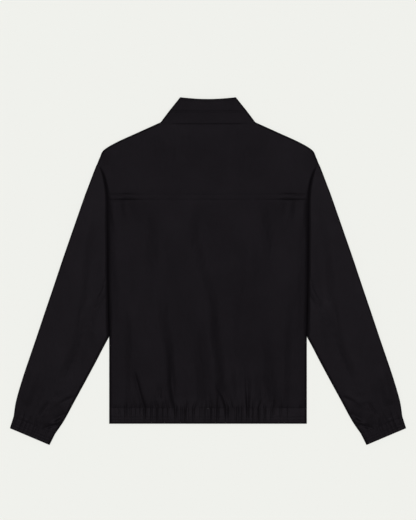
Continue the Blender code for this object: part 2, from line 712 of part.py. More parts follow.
def strip_points(x_low, x_high, y_low, y_high, z, count):
    level = y_low + (ZIP_LIFT_LOW_Y - y_low) * np.linspace(0, 1, 4)[:-1]
    y = np.append(level, np.linspace(ZIP_LIFT_LOW_Y, y_high, count - 3))[:, None] * np.ones((1, 2))
    x = np.array([[x_low, x_high]]) * np.ones((count, 1))
    return surface(x, y, z + zip_lift(0 * y, y))


def make_zip_tape(side, tape):
    inner = CHAIN_HALF + SEAM_GAP
    points = strip_points(inner, inner + TAPE_WIDTH, CHAIN_LOW_Y, COLLAR_FRONT_TOP_Y - 2, TAPE_BOTTOM, 22)
    points[..., 0] *= side
    name = "zip_tape_right" if side > 0 else "zip_tape_left"
    cloth_piece(name, points, "down", TAPE_THICKNESS, tape)


def make_zip_chain(tape):
    points = strip_points(-CHAIN_HALF, CHAIN_HALF, CHAIN_LOW_Y, CHAIN_HIGH_Y, CHAIN_BOTTOM, 22)
    cloth_piece("zip_chain", points, "down", CHAIN_THICKNESS, tape)


def block(name, low, high, finish, collection="bomber_jacket"):
    """A box between two corners."""
    mesh = bpy.data.meshes.new(name)
    made = bmesh.new()
    bmesh.ops.create_cube(made, size=1.0)
    low, high = np.array(low) * MM, np.array(high) * MM
    to_place = Matrix.Translation((low + high) / 2) @ Matrix.Diagonal((*(high - low), 1))
    bmesh.ops.transform(made, matrix=to_place, verts=made.verts)
    made.to_mesh(mesh)
    made.free()
    piece = bpy.data.objects.new(name, mesh)
    piece.data.materials.append(finish)
    bpy.data.collections[collection].objects.link(piece)
    return piece


def rod(name, centre, radius, half_length, sides, finish, collection="bomber_jacket"):
    """A cylinder along X."""
    mesh = bpy.data.meshes.new(name)
    made = bmesh.new()
    lying = Matrix.Translation([value * MM for value in centre]) @ Matrix.Rotation(math.pi / 2, 4, "Y")
    bmesh.ops.create_cone(
        made, cap_ends=True, segments=sides, radius1=radius * MM, radius2=radius * MM,
        depth=2 * half_length * MM, matrix=lying,
    )
    made.to_mesh(mesh)
    made.free()
    piece = bpy.data.objects.new(name, mesh)
    piece.data.materials.append(finish)
    bpy.data.collections[collection].objects.link(piece)
    return piece


def combine(piece, helper, operation):
    """Adds a hidden helper to a piece, or cuts it away, with a Boolean."""
    helper.hide_render = True
    helper.display_type = "WIRE"
    change = piece.modifiers.new(helper.name, "BOOLEAN")
    change.operation = operation
    change.object = helper


def make_slider(metal):
    """Two plates over and under the chain, a neck between them at the top, and a bridge for the pull."""
    lower = CHAIN_BOTTOM + ZIP_LIFT - SEAM_GAP - SLIDER_PLATE
    upper = TAPE_BOTTOM + TAPE_THICKNESS + ZIP_LIFT + SEAM_GAP
    low_y, high_y = SLIDER_Y - SLIDER_LENGTH / 2, SLIDER_Y + SLIDER_LENGTH / 2
    half = SLIDER_WIDTH / 2
    slider = block("zip_slider", (-half, low_y, lower), (half, high_y, lower + SLIDER_PLATE), metal)
    top_plate = block("slider_top", (-half, low_y, upper), (half, high_y, upper + SLIDER_PLATE), metal, "helpers")
    neck_low = (-SLIDER_NECK_HALF, CHAIN_HIGH_Y + 2 * SEAM_GAP, lower + 0.2)
    neck_high = (SLIDER_NECK_HALF, high_y - 0.3, upper + 0.2)
    neck = block("slider_neck", neck_low, neck_high, metal, "helpers")
    combine(slider, top_plate, "UNION")
    combine(slider, neck, "UNION")
    bar_y, bar_z = pull_axis()
    for sign in (-1, 1):
        inner, outer = sorted((sign * SLIDER_POST_INNER_X, sign * SLIDER_POST_OUTER_X))
        name = "slider_post_right" if sign > 0 else "slider_post_left"
        post = block(name, (inner, bar_y - 1.0, bar_z - 0.8), (outer, bar_y + 1.0, lower + 0.2), metal, "helpers")
        combine(slider, post, "UNION")
    bar = rod("slider_bar", (0, bar_y, bar_z), PULL_BAR_RADIUS, 3.5, 12, metal, "helpers")
    combine(slider, bar, "UNION")


def pull_axis():
    """Y and Z of the bar that the pull hangs on."""
    lower = CHAIN_BOTTOM + ZIP_LIFT - SEAM_GAP - SLIDER_PLATE
    return SLIDER_Y + SLIDER_BAR_UP, lower - PULL_DROP - PULL_EYE_RADIUS


def make_pull(metal):
    """A tab with an eye round the slider's bar, lying along the zip below the slider."""
    bar_y, bar_z = pull_axis()
    eye = rod("zip_pull", (0, 0, 0), PULL_EYE_RADIUS, PULL_WIDTH / 2, 20, metal)
    half = PULL_THICKNESS / 2
    tab = block("pull_tab", (-PULL_WIDTH / 2, -PULL_LENGTH, -half), (PULL_WIDTH / 2, 0, half), metal, "helpers")
    hole = rod("pull_hole", (0, 0, 0), PULL_EYE_HOLE, PULL_WIDTH, 20, metal, "helpers")
    for piece in (eye, tab, hole):
        piece.location = (0, bar_y * MM, bar_z * MM)
        piece.rotation_euler = (math.radians(PULL_TILT), 0, 0)
    combine(eye, tab, "UNION")
    combine(eye, hole, "DIFFERENCE")


def make_zip_box(metal):
    half = FRONT_EDGE_X - SEAM_GAP
    block("zip_box", (-half, HEM_Y + 1, 0.4), (half, CHAIN_LOW_Y - SEAM_GAP, 3.6), metal)


# ---------------------------------------------------------------- the jacket


def clear_scene():
    for leftover in list(bpy.data.objects):
        bpy.data.objects.remove(leftover)
    for name in ("bomber_jacket", "helpers"):
        bpy.context.scene.collection.children.link(bpy.data.collections.new(name))


def main():
    clear_scene()
    cloth = material("black_shell_cloth", CLOTH_BLACK, 0.62)
    band = material("black_band_cloth", BAND_BLACK, 0.68)
    tape = material("black_zip_tape", TAPE_BLACK, 0.8)
    metal = material("black_metal", METAL_BLACK, 0.35, 1.0)
    make_back_yoke(cloth)
    make_back_body(cloth)
    make_hem_back(band)
    make_collar(band)
    for side in (-1, 1):
        make_front(side, cloth)
        make_hem_front(side, band)
        make_sleeve(side, cloth)
        make_cuff(side, band)
        make_zip_tape(side, tape)
    make_zip_chain(tape)
    make_slider(metal)
    make_pull(metal)
    make_zip_box(metal)


main()
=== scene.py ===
"""The looks of a black bomber jacket that lies flat on its front, back upwards, seen from straight above.

X runs across the jacket, Y from the hem to the collar and Z up from the surface that it lies on. Sizes are in
millimetres, and MM turns them into metres when a mesh is made. The finishes, the camera and the floor are in
metres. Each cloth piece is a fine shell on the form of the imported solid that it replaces. Edges and sections
are given for the half at +X, and side = -1 mirrors them.
"""

import math
from collections import namedtuple
from functools import partial

import bpy
import numpy as np
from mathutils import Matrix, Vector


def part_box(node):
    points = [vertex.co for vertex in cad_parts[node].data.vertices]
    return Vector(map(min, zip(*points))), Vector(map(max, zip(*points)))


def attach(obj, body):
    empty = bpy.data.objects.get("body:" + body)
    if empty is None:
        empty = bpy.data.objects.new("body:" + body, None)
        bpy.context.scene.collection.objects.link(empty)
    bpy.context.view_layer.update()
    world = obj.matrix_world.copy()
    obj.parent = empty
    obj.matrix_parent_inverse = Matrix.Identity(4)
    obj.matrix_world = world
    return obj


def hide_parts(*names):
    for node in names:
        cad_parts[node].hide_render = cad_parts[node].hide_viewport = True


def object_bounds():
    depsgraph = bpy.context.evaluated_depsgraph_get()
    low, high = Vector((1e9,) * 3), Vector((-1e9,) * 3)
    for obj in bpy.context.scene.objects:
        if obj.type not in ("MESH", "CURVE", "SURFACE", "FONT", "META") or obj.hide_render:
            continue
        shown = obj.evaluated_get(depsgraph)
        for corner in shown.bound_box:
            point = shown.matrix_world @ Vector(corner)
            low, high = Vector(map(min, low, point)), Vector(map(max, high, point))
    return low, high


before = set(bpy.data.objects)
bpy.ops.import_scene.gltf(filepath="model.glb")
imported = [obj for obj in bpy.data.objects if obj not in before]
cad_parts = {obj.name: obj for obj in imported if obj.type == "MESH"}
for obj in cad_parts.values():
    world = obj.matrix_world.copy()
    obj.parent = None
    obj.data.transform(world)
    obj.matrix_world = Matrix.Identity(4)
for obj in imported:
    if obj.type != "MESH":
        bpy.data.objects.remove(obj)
CAD_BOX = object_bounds()

MM = 0.001
LOW, HIGH = 0, 1
AXIS = {"x": 0, "y": 1, "z": 2}


def reach(node, end, axis):
    """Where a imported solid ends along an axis, in millimetres."""
    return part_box(node)[end][AXIS[axis]] / MM


# ---------------------------------------------------------------- sizes

# Cloth and seams
WALL = 1.7
BAND_WALL = 2.0
COLLAR_WALL = 2.2
TAPE_WALL = 1.0
SOLID_GAP = 0.3
SEAM_GAP = 0.02
SEAM_OVERLAP = 0.12
RIM_GAP = 0.1

# Heights of the layers as they lie
TOP = 7.3
LEAST_TOP = 3.2
LEAST_TOP_BLEND = 0.4
FLOOR_DROP = 0.05
SEAM_LEVEL = 3.0
EDGE_ROUND = 4.5
SIDE_ROUND = 5.8
OUTER_ROUND = 3.2
EDGE_DROOP = 1.3
SHOULDER_DROOP = 1.5
SHOULDER_DROOP_REACH = 42
SLEEVE_DROOP = 1.3
SLEEVE_DROOP_WIDTH = 62.0
EDGE_DROOP_WIDTH = 26
EDGE_DROOP_END_Y = (140, 200)
NECK_RISE = 3.2
NECK_RISE_WIDTH = 92
NECK_RISE_Y = (185, 322)
ARMHOLE_RISE = 2.2
ARMHOLE_FRONT_DROP = 1.4
SLEEVE_HEAD_RISE = 0.5
SLEEVE_HEAD_RISE_Y = (195, 240)
END_ROUND = 2.0
HEM_TURN = 1.6
HEM_UNDER_TURN = 0.5
CUFF_TURN = 1.5
CUFF_UNDER_TURN = 0.45
COLLAR_TURN = 1.5
COLLAR_UNDER_TURN_SHARE = 0.3

# Levels along Y
HEM_Y = reach("hem_back", LOW, "y")
BAND_Y = reach("back_body", LOW, "y") - SOLID_GAP / 2
YOKE_Y = reach("back_body", HIGH, "y") + SOLID_GAP / 2
UNDERARM_Y = -11.3
SLEEVE_LEAVES_Y = -149.0
SLEEVE_HEAD_Y = 235
UNDERARM_ROUND = 3.2
UNDERARM_ROUND_LOW_Y = (SLEEVE_LEAVES_Y - 6, SLEEVE_LEAVES_Y + 10)
UNDERARM_ROUND_HIGH_Y = (60, SLEEVE_HEAD_Y)
NECK_HALF = 111.5
NECK_Y = 332.3
FRONT_EDGE_X = reach("front_right", LOW, "x")
FRONT_NECK_Y = 270.0

# Collar
COLLAR_TOP_HALF = 62.8
COLLAR_TOP_Y = 390.6
COLLAR_TOP_DIP = 4.0
COLLAR_FRONT_TOP_Y = 325.0
COLLAR_TOP_HEIGHT = 8.4
COLLAR_HEIGHT = COLLAR_TOP_Y - NECK_Y
COLLAR_LEDGE_UP = 27.0
COLLAR_LEDGE = 0.25
COLLAR_ROUND = 4.2
NECK_DIP = 0.6
NECK_DIP_LOSS = 0.75
NECK_DIP_ENDS = (68, 88)
COLLAR_DROOP = 1.4
COLLAR_DROOP_X = (30, 90)
COLLAR_BACK_COLUMNS = 46
NECK_DIP_DOWN = 2.9
NECK_DIP_WIDTH = 4.4
YOKE_DIP_WIDTH = 15.0

# Cuffs
CUFF_OUTER_END = (445.6, -353.4)
CUFF_INNER_END = (356.3, -391.2)

# Front zip, which lies face down and is raised at its top by the slider and the pull under it
ZIP_LIFT = 3.5
ZIP_LIFT_LOW_Y = 262.0
ZIP_LIFT_HIGH_Y = 298.0
ZIP_LIFT_INNER_X = 22.0
ZIP_LIFT_OUTER_X = 62.0
CHAIN_LOW_Y = reach("zip_chain", LOW, "y")
CHAIN_HIGH_Y = reach("zip_chain", HIGH, "y")
CHAIN_BOTTOM = 0.8
CHAIN_THICKNESS = 2.4
TAPE_INNER_X = reach("zip_tape_right", LOW, "x")
TAPE_OUTER_X = reach("zip_tape_right", HIGH, "x")
TAPE_HIGH_Y = reach("zip_tape_right", HIGH, "y")
TAPE_BOTTOM = 2.5
TOOTH_PITCH = 2.6
TOOTH_ACROSS = 3.7
TOOTH_ALONG = 1.35
TOOTH_MIDDLE_X = 1.3

# Sewing
THREAD = 0.45
STITCH_PITCH = 3.6
STITCH_LENGTH = 2.9
YOKE_STITCH_UP = 12.0
BAND_STITCHES_UP = (7.5, 14.5)
CUFF_STITCHES_UP = (7.0, 13.0)
COLLAR_STITCH_DOWN = 6.0
PLACKET_STITCH_X = FRONT_EDGE_X + 9.0
STITCH_LIFT = THREAD / 4
STITCH_PATH_STEP = 1.5
PUCKER_PITCH = 2.9

# Dips at seams and rows of stitches: how deep each is, and how far it reaches
YOKE_STITCH_DIP = (0.55, 5)
YOKE_SEAM_DIP = (0.5, 6)
BAND_SEAM_DIP = (0.1, 3)
BAND_STITCH_DIP = (0.3, 2.4)
UNDER_SEAM_DIP = (0.7, 3)
UNDER_STITCH_DIP = (0.5, 2.2)
CUFF_SEAM_DIP = (0.12, 3)
CUFF_STITCH_DIP = (0.25, 2.0)
CUFF_UNDER_STITCH_DIP = (0.4, 2.0)
COLLAR_LEDGE_DIP = (0.4, 4)
COLLAR_STITCH_DIP = (0.2, 2.2)

# Colours, linear
SHELL_DARK = (0.0031, 0.0026, 0.0033, 1.0)
SHELL_LIGHT = (0.0039, 0.0033, 0.0041, 1.0)
# Painted light: the sleeves are the same shell cloth, but their colours are painted lighter than the shell's,
# standing for the side light that falls more on the sleeves
SLEEVE_PAINTED_LIT_DARK = (0.0041, 0.0035, 0.0043, 1.0)
SLEEVE_PAINTED_LIT_LIGHT = (0.0049, 0.0042, 0.0051, 1.0)
COLLAR_DARK = (0.0026, 0.0022, 0.0028, 1.0)
COLLAR_LIGHT = (0.0034, 0.0029, 0.0036, 1.0)
BAND_DARK = (0.0039, 0.0033, 0.0041, 1.0)
BAND_LIGHT = (0.0047, 0.0040, 0.0049, 1.0)
TAPE_DARK = (0.004, 0.004, 0.0043, 1.0)
TAPE_LIGHT = (0.014, 0.013, 0.0142, 1.0)
THREAD_DARK = (0.002, 0.0018, 0.0022, 1.0)
THREAD_LIGHT = (0.006, 0.0055, 0.0065, 1.0)
METAL_BLACK = (0.02, 0.02, 0.022, 1.0)
METAL_BARE = (0.25, 0.25, 0.26, 1.0)
TOOTH_DARK = (0.008, 0.008, 0.009, 1.0)
TOOTH_LIGHT = (0.016, 0.016, 0.017, 1.0)
FLOOR_COLOUR = (0.250, 0.252, 0.241, 1.0)
FLOOR_GLOW = (0.622, 0.628, 0.600, 1.0)
WORLD_COLOUR = (1.0, 1.0, 1.0, 1.0)
WORLD_STRENGTH = 0.3
CLOTH_SPECULAR = 0.025
CLOTH_ROUGHNESS = 0.42
SHEEN_TINT = (0.96, 0.84, 1.0, 1.0)

# Each light: name, strength, how wide it is in degrees, and how it is turned
LIGHTS = (("key", 2.05, 16, (-6, 0, 0)), ("fill", 0.2, 60, (40, 0, 0)))

# Finishes, in metres: the cloths' threads, and how high each pattern of the cloth stands
SHELL_THREAD = 0.0007
BAND_THREAD = 0.0008
RUMPLE_HEIGHT = 0.0008
CREASING_HEIGHT = 0.0002
SLUB_HEIGHT = 0.00001
WEAVE_HEIGHT = 0.000016
TAPE_ZIGZAG = 0.0016
TAPE_RIB = 0.0009
TAPE_RIB_HEIGHT = 0.00006
TWIST_HEIGHT = 0.00005
GRAIN_HEIGHT = 0.00002

# Camera and floor, in metres
SENSOR = 36.0
CAMERA_HEIGHT = 6.0
VIEW_HEIGHT = 1.17
VIEW_MIDDLE_Y = 0.02475
FLOOR_SIZE = 12.0

# The body's side edge and armhole from the hem to the head of the sleeve, then the shoulder and the collar
BODY_EDGE_POINTS = (
    (222.3, -343.4), (222.3, -240.0), (222.4, -149.0), (223.8, -85.0), (225.2, -11.3), (225.8, 92.0),
    (226.5, 155.0), (228.3, 180.0), (231.7, 200.3), (236.2, 217.0), (240.7, 227.3), (248.8, 241.9),
)
SHOULDER_POINTS = (
    (248.8, 241.9), (243.4, 255.0), (234.5, 271.9), (205.7, 289.5), (156.5, 312.0), (NECK_HALF, NECK_Y),
)
COLLAR_EDGE_POINTS = ((NECK_HALF, NECK_Y), (106.3, 334.8), (87.7, 359.6), (COLLAR_TOP_HALF, COLLAR_TOP_Y))
FRONT_NECK_POINTS = ((FRONT_EDGE_X, FRONT_NECK_Y), (40.0, 278.0), (80.0, 300.0), (NECK_HALF, NECK_Y))

# Each row is a line across the flattened sleeve, from its inner edge to its outer edge.
# seam is how far the underarm seam lies from the inner edge, along that line.
Section = namedtuple("Section", "outer_x outer_y inner_x inner_y seam lift")
SLEEVE_SECTIONS = tuple(Section(*row) for row in (
    (249.2, 241.3, 248.2, 240.6, 0.0, 0.0),
    (250.1, 239.4, 245.1, 234.7, 0.0, 0.0),
    (252.6, 233.8, 240.8, 227.0, 0.0, 0.2),
    (256.6, 223.7, 236.5, 217.0, 0.0, 0.4),
    (262.1, 209.2, 232.0, 200.0, 0.0, 0.6),
    (268.6, 192.0, 228.6, 180.0, 0.0, 0.8),
    (276.5, 171.3, 226.8, 155.0, 0.0, 0.9),
    (292.7, 125.0, 226.2, 103.0, 0.0, 1.0),
    (310.7, 73.3, 226.0, 45.0, 0.0, 1.0),
    (327.7, 24.0, 225.6, -11.3, 0.0, 1.1),
    (348.6, -38.5, 224.1, -85.0, 28.0, 1.5),
    (367.5, -94.2, 222.8, -149.0, 54.0, 1.7),
    (376.4, -120.8, 237.5, -176.2, 53.6, 1.6),
    (385.0, -146.5, 250.5, -201.4, 49.5, 1.5),
    (401.4, -194.6, 274.6, -246.4, 45.8, 1.4),
    (417.5, -242.8, 299.2, -291.4, 43.0, 1.2),
    (431.6, -291.8, 323.6, -336.4, 44.0, 0.8),
    (437.3, -327.2, 343.7, -366.2, 44.0, 0.0),
))
LAST_SECTION = len(SLEEVE_SECTIONS) - 1
LEAVING_SECTION = [section.inner_y for section in SLEEVE_SECTIONS].index(SLEEVE_LEAVES_Y)


# ---------------------------------------------------------------- curves of the plan


def between_knots(knots, t):
    """A smooth curve's place between the middle two of four knots, at a share t of the way."""
    a, b, c, d = knots
    bend = (2 * a - 5 * b + 4 * c - d) * t**2
    swing = (3 * b - 3 * c + d - a) * t**3
    return 0.5 * (2 * b + (c - a) * t + bend + swing)


class Path:
    """A curve of the plan through a few points, smooth or straight between them.

    It is read by the share of its length.
    """

    STEPS = 10
    UP_WEIGHT = 0.01

    def __init__(self, points, smooth=True):
        knots = np.array(points, float)
        if smooth and len(knots) > 2:
            ends = np.vstack([2 * knots[0] - knots[1], knots, 2 * knots[-1] - knots[-2]])
            t = np.linspace(0, 1, self.STEPS, endpoint=False)[:, None]
            curve = between_knots([ends[i : i + len(knots) - 1, None, :] for i in range(4)], t)
            knots = np.vstack([curve.reshape(-1, 2), knots[-1]])
        self.points = knots
        self.lengths = np.concatenate([[0.0], np.cumsum(np.linalg.norm(np.diff(knots, axis=0), axis=1))])
        self.length = self.lengths[-1]

    def at(self, share):
        place = np.asarray(share) * self.length
        return np.stack([np.interp(place, self.lengths, self.points[:, i]) for i in (0, 1)], axis=-1)

    def x_at(self, y):
        order = np.argsort(self.points[:, 1])
        return np.interp(y, self.points[order, 1], self.points[order, 0])

    def between(self, low, high):
        """The stretch of a path that climbs in Y, from Y = low to Y = high."""
        inside = self.points[(self.points[:, 1] > low) & (self.points[:, 1] < high)]
        return Path([(self.x_at(low), low), *inside, (self.x_at(high), high)], smooth=False)

    def mirrored(self):
        return Path(self.points * (-1, 1), smooth=False)

    def backwards(self):
        return Path(self.points[::-1], smooth=False)

    def nearest(self, x, y):
        """How far each place is from the curve, and the share of its length where it is nearest.

        The distance is below zero on the curve's -X side, or below it where it runs level.
        """
        spot = np.stack([x, y], axis=-1)[..., None, :]
        start = self.points[:-1]
        run = np.diff(self.points, axis=0)
        part = np.clip(((spot - start) * run).sum(-1) / (run**2).sum(-1), 0, 1)
        off = spot - (start + part[..., None] * run)
        apart = np.linalg.norm(off, axis=-1)
        beside = off[..., 0] * np.abs(run[:, 1])
        apart = np.copysign(apart, beside + off[..., 1] * np.abs(run[:, 0]) * self.UP_WEIGHT)
        best = np.abs(apart).argmin(-1)[..., None]
        along = self.lengths[:-1] + part * np.diff(self.lengths)
        share = np.take_along_axis(along, best, -1)[..., 0] / self.length
        return np.take_along_axis(apart, best, -1)[..., 0], share

    def distance(self, x, y):
        return np.abs(self.nearest(x, y)[0])


def joined(*paths):
    """Paths that follow one another, as one."""
    return Path(np.vstack([paths[0].points] + [path.points[1:] for path in paths[1:]]), smooth=False)


BODY_EDGE = Path(BODY_EDGE_POINTS)
SHOULDER = Path(SHOULDER_POINTS)
COLLAR_EDGE = Path(COLLAR_EDGE_POINTS, smooth=False)
HEM_HALF = float(BODY_EDGE.x_at(HEM_Y))


def ease(x, low, high):
    """0 up to low, 1 from high, and smooth between them."""
    t = np.clip((x - low) / (high - low), 0, 1)
    return t * t * (3 - 2 * t)


def rounding(distance, radius):
    """The height of a rounded edge, from 0 at the edge to 1 at radius in from it."""
    return np.sqrt(np.clip(1 - (1 - np.clip(distance / radius, 0, 1)) ** 2, 0, 1))


def groove(distance, depth, width):
    """How far cloth dips beside a seam or a row of stitches."""
    return depth * np.clip(1 - distance / width, 0, 1) ** 2


def stitch_dips(up, rows, depth, width):
    """How far cloth dips beside several rows of stitches, each at its own place up."""
    return sum(groove(np.abs(up - row), depth, width) for row in rows)


def turned_end(up, drop):
    """How far cloth turns in at a band's finished edge, by the place up from that edge."""
    return drop * (1 - rounding(up, END_ROUND))


def puckers(place, depth, wander, drift):
    """Small uneven waves along a seam."""
    return depth * np.sin(place / PUCKER_PITCH + wander * np.sin(place / drift))


# ---------------------------------------------------------------- folds and gathers

# A fold is a soft ridge, or a creased trough if its height is below zero, along a path. A hollow is a wide
# soft trough: its cloth slopes down over its width and comes back over another, toward +X or, if that is
# below zero, -X. Each fades in and out over those shares of its length.
Fold = namedtuple("Fold", "height width back fade_in fade_out path")


def fold(height, width, fade_in, fade_out, *points):
    return Fold(height, width, 0, fade_in, fade_out, Path(points))


def hollow(depth, width, back, fade_in, fade_out, *points):
    return Fold(-depth, width, back, fade_in, fade_out, Path(points))


BACK_FOLDS = (
    # Long soft hollows
    hollow(
        2.2, 35, 95, 0.2, 0.12,
        (-16, 184), (-29, 88), (-11, 7), (11, -74), (17, -146), (25, -218), (37, -325),
    ),
    hollow(1.3, 32, 95, 0.5, 0.12, (-4, -10), (12, -74), (18, -146), (26, -218), (38, -325)),
    hollow(
        3.4, 35, 80, 0.6, 0.12,
        (-108, 30), (-100, -90), (-90, -164), (-83, -218), (-79, -260), (-76, -325),
    ),
    hollow(1.2, 24, 80, 0.5, 0.2, (-92, -130), (-84, -210), (-79, -260), (-76, -325)),
    hollow(2.0, 36, -70, 0.3, 0.6, (-118, 186), (-126, 60), (-132, -120)),
    hollow(2.0, 36, 70, 0.3, 0.6, (122, 186), (136, 60), (142, -60)),
    hollow(2.6, 36, -60, 0.6, 0.12, (132, -50), (138, -200), (156, -325)),
    hollow(1.2, 30, 20, 0.5, 0.2, (-202, -50), (-204, -180), (-202, -325)),
    hollow(1.2, 30, -20, 0.5, 0.2, (202, -50), (204, -180), (202, -325)),
    hollow(0.8, 26, 40, 0.5, 0.2, (-56, -80), (-40, -200), (-34, -325)),
    # Long soft ridges
    fold(0.7, 18, 0.3, 0.3, (-88, 140), (-73, 45), (-56, -30)),
    fold(0.7, 17, 0.3, 0.3, (-176, 40), (-178, -60), (-161, -146), (-136, -209), (-118, -262)),
    fold(0.7, 17, 0.3, 0.3, (90, 140), (94, 50), (84, -60), (76, -150), (64, -230)),
    fold(0.6, 15, 0.3, 0.3, (171, 50), (184, -38), (175, -130), (171, -200)),
    fold(0.7, 8, 0.4, 0.2, (63, -195), (65, -250), (67, -300)),
    fold(0.8, 9, 0.4, 0.2, (101, -205), (101, -260), (104, -300)),
    fold(-0.8, 11, 0.4, 0.3, (120, -225), (121, -260), (118, -300)),
    # Creases that run up from the gathered hem
    fold(-1.4, 9, 0.45, 0.0, (12, -250), (21, -264), (34, -284), (43, -309)),
    fold(-1.2, 10, 0.5, 0.0, (-84, -205), (-83, -240), (-82, -262), (-74, -309)),
    fold(-1.9, 8, 0.4, 0.0, (-171, -212), (-166, -227), (-154, -271), (-144, -309)),
    fold(-1.1, 7, 0.5, 0.0, (85, -208), (87, -254), (89, -309)),
    fold(-0.9, 8, 0.5, 0.2, (-106, -250), (-108, -292)),
    # Dimples at the ends of the yoke seam, and the rolled cloth beside the armhole
    hollow(1.5, 18, 24, 0.4, 0.6, (-194, 186), (-190, 140), (-180, 88)),
    hollow(1.5, 18, -24, 0.4, 0.6, (194, 186), (190, 140), (180, 88)),
    fold(0.6, 6.0, 0.3, 0.5, (-218, 176), (-214, 130), (-210, 78)),
    fold(0.6, 6.0, 0.3, 0.5, (218, 176), (214, 130), (210, 78)),
    # Faint draw lines over the yoke
    hollow(0.7, 40, 60, 0.3, 0.3, (-122, 300), (-128, 250), (-126, 180)),
    hollow(0.7, 40, -60, 0.3, 0.3, (116, 290), (124, 240), (128, 180)),
    hollow(0.5, 30, -50, 0.4, 0.4, (10, 300), (-8, 240), (-14, 180)),
)
SLEEVE_FOLDS = (
    # Long folds down the sleeve
    hollow(1.8, 26, -32, 0.3, 0.2, (256, 120), (272, 30), (279, -56), (290, -128), (312, -200), (352, -270)),
    fold(0.5, 12, 0.3, 0.3, (256, 165), (268, 105), (290, 45)),
    hollow(0.5, 20, 30, 0.3, 0.3, (318, 30), (330, -40), (346, -120)),
    fold(1.0, 11, 0.3, 0.2, (384, -205), (398, -255), (410, -305)),
    hollow(0.8, 16, 30, 0.4, 0.0, (362, -250), (380, -290), (400, -335)),
    # Short folds below the underarm
    fold(-0.8, 4.0, 0.0, 0.6, (231, -22), (241, -45), (255, -70)),
    fold(0.5, 6, 0.2, 0.5, (233, -44), (248, -66), (262, -84)),
    fold(-0.6, 5, 0.1, 0.6, (229, -60), (246, -82), (258, -98)),
    fold(0.6, 8, 0.3, 0.4, (262, -60), (271, -90), (278, -128)),
    fold(-0.5, 7, 0.4, 0.4, (281, -70), (288, -104), (292, -140)),
    # Creases across the inner side above the cuff
    fold(-0.9, 9, 0.0, 0.6, (303, -284), (320, -291), (340, -303)),
    fold(0.6, 7, 0.1, 0.4, (304, -276), (331, -291), (357, -306)),
    fold(-1.4, 6, 0.0, 0.4, (322, -322), (334, -329), (350, -340)),
    fold(1.4, 4.5, 0.1, 0.3, (328, -334), (343, -341), (358, -347)),
    fold(-1.8, 5, 0.1, 0.2, (338, -345), (352, -349), (366, -354), (372, -358)),
    fold(-1.0, 4.0, 0.3, 0.3, (356, -292), (372, -312), (384, -330)),
)
# The hidden side has creases like those of the back, all raised off the surface that it lies on
FRONT_FOLDS = (
    fold(1.3, 9, 0.2, 0.2, (150, 140), (156, 40), (150, -60), (142, -170)),
    fold(1.0, 7, 0.3, 0.0, (70, -150), (66, -230), (60, -306)),
    fold(1.2, 3.4, 0.5, 0.0, (104, -215), (109, -260), (116, -309)),
    fold(1.2, 3.4, 0.5, 0.0, (172, -205), (168, -255), (160, -309)),
    fold(0.9, 3.2, 0.5, 0.0, (136, -252), (137, -280), (134, -309)),
    fold(0.8, 8, 0.3, 0.4, (90, 120), (86, 20), (94, -70)),
    fold(0.9, 7, 0.3, 0.3, (190, 60), (192, -40), (188, -150)),
    fold(0.8, 10, 0.4, 0.4, (170, 250), (178, 190), (176, 130)),
)
SLEEVE_FRONT_FOLDS = (
    fold(1.3, 9, 0.3, 0.3, (300, 60), (318, -20), (338, -100)),
    fold(1.2, 6, 0.1, 0.5, (236, -40), (262, -62), (296, -74)),
    fold(1.1, 5, 0.1, 0.5, (252, -196), (290, -196), (330, -206)),
    fold(1.2, 4, 0.1, 0.5, (306, -300), (334, -303), (362, -314)),
    fold(1.1, 4, 0.1, 0.5, (330, -340), (352, -338), (378, -342)),
    fold(0.9, 8, 0.3, 0.3, (384, -180), (400, -240), (412, -290)),
)

# A gather is a trough that starts in an elasticated band and runs up into the cloth above it, fading over
# its reach. Its place is along the band, and lean is how far it moves along for each millimetre up.
Gather = namedtuple("Gather", "place depth width reach lean")
HEM_GATHERS = tuple(Gather(*row) for row in (
    (-210, 0.4, 2.6, 5, 0.0), (-199, 0.6, 3.0, 7, 0.0), (-186, 1.1, 2.8, 16, -0.08),
    (-174, 1.0, 3.0, 10, 0.0), (-162, 1.2, 3.0, 19, -0.3), (-152, 0.9, 3.0, 8, 0.0),
    (-143, 1.4, 3.2, 14, -0.25), (-128, 1.1, 3.0, 12, 0.1), (-115, 1.2, 3.0, 24, -0.25),
    (-101, 1.1, 3.0, 12, 0.0), (-90, 1.2, 3.0, 26, -0.23), (-73, 1.6, 3.4, 14, -0.15),
    (-60, 0.9, 2.8, 8, 0.1), (-52, 1.3, 2.8, 36, 0.0), (-33, 1.2, 3.0, 18, 0.35),
    (-17, 0.9, 3.0, 9, 0.1), (-7, 0.8, 2.6, 14, 0.0), (6, 1.4, 3.2, 20, -0.15),
    (22, 1.7, 3.2, 22, 0.03), (41, 1.6, 3.2, 14, -0.3), (54, 1.2, 2.8, 30, -0.3),
    (65, 1.0, 2.8, 9, 0.0), (77, 1.0, 3.0, 12, 0.1), (89, 1.5, 3.0, 30, -0.04),
    (101, 1.1, 3.0, 10, 0.1), (115, 1.2, 3.0, 24, 0.35), (127, 1.0, 3.0, 9, 0.0),
    (143, 1.1, 3.0, 18, 0.2), (163, 0.9, 3.0, 13, -0.05), (180, 0.7, 3.0, 8, 0.0),
    (208, 0.4, 3.0, 5, 0.0),
))
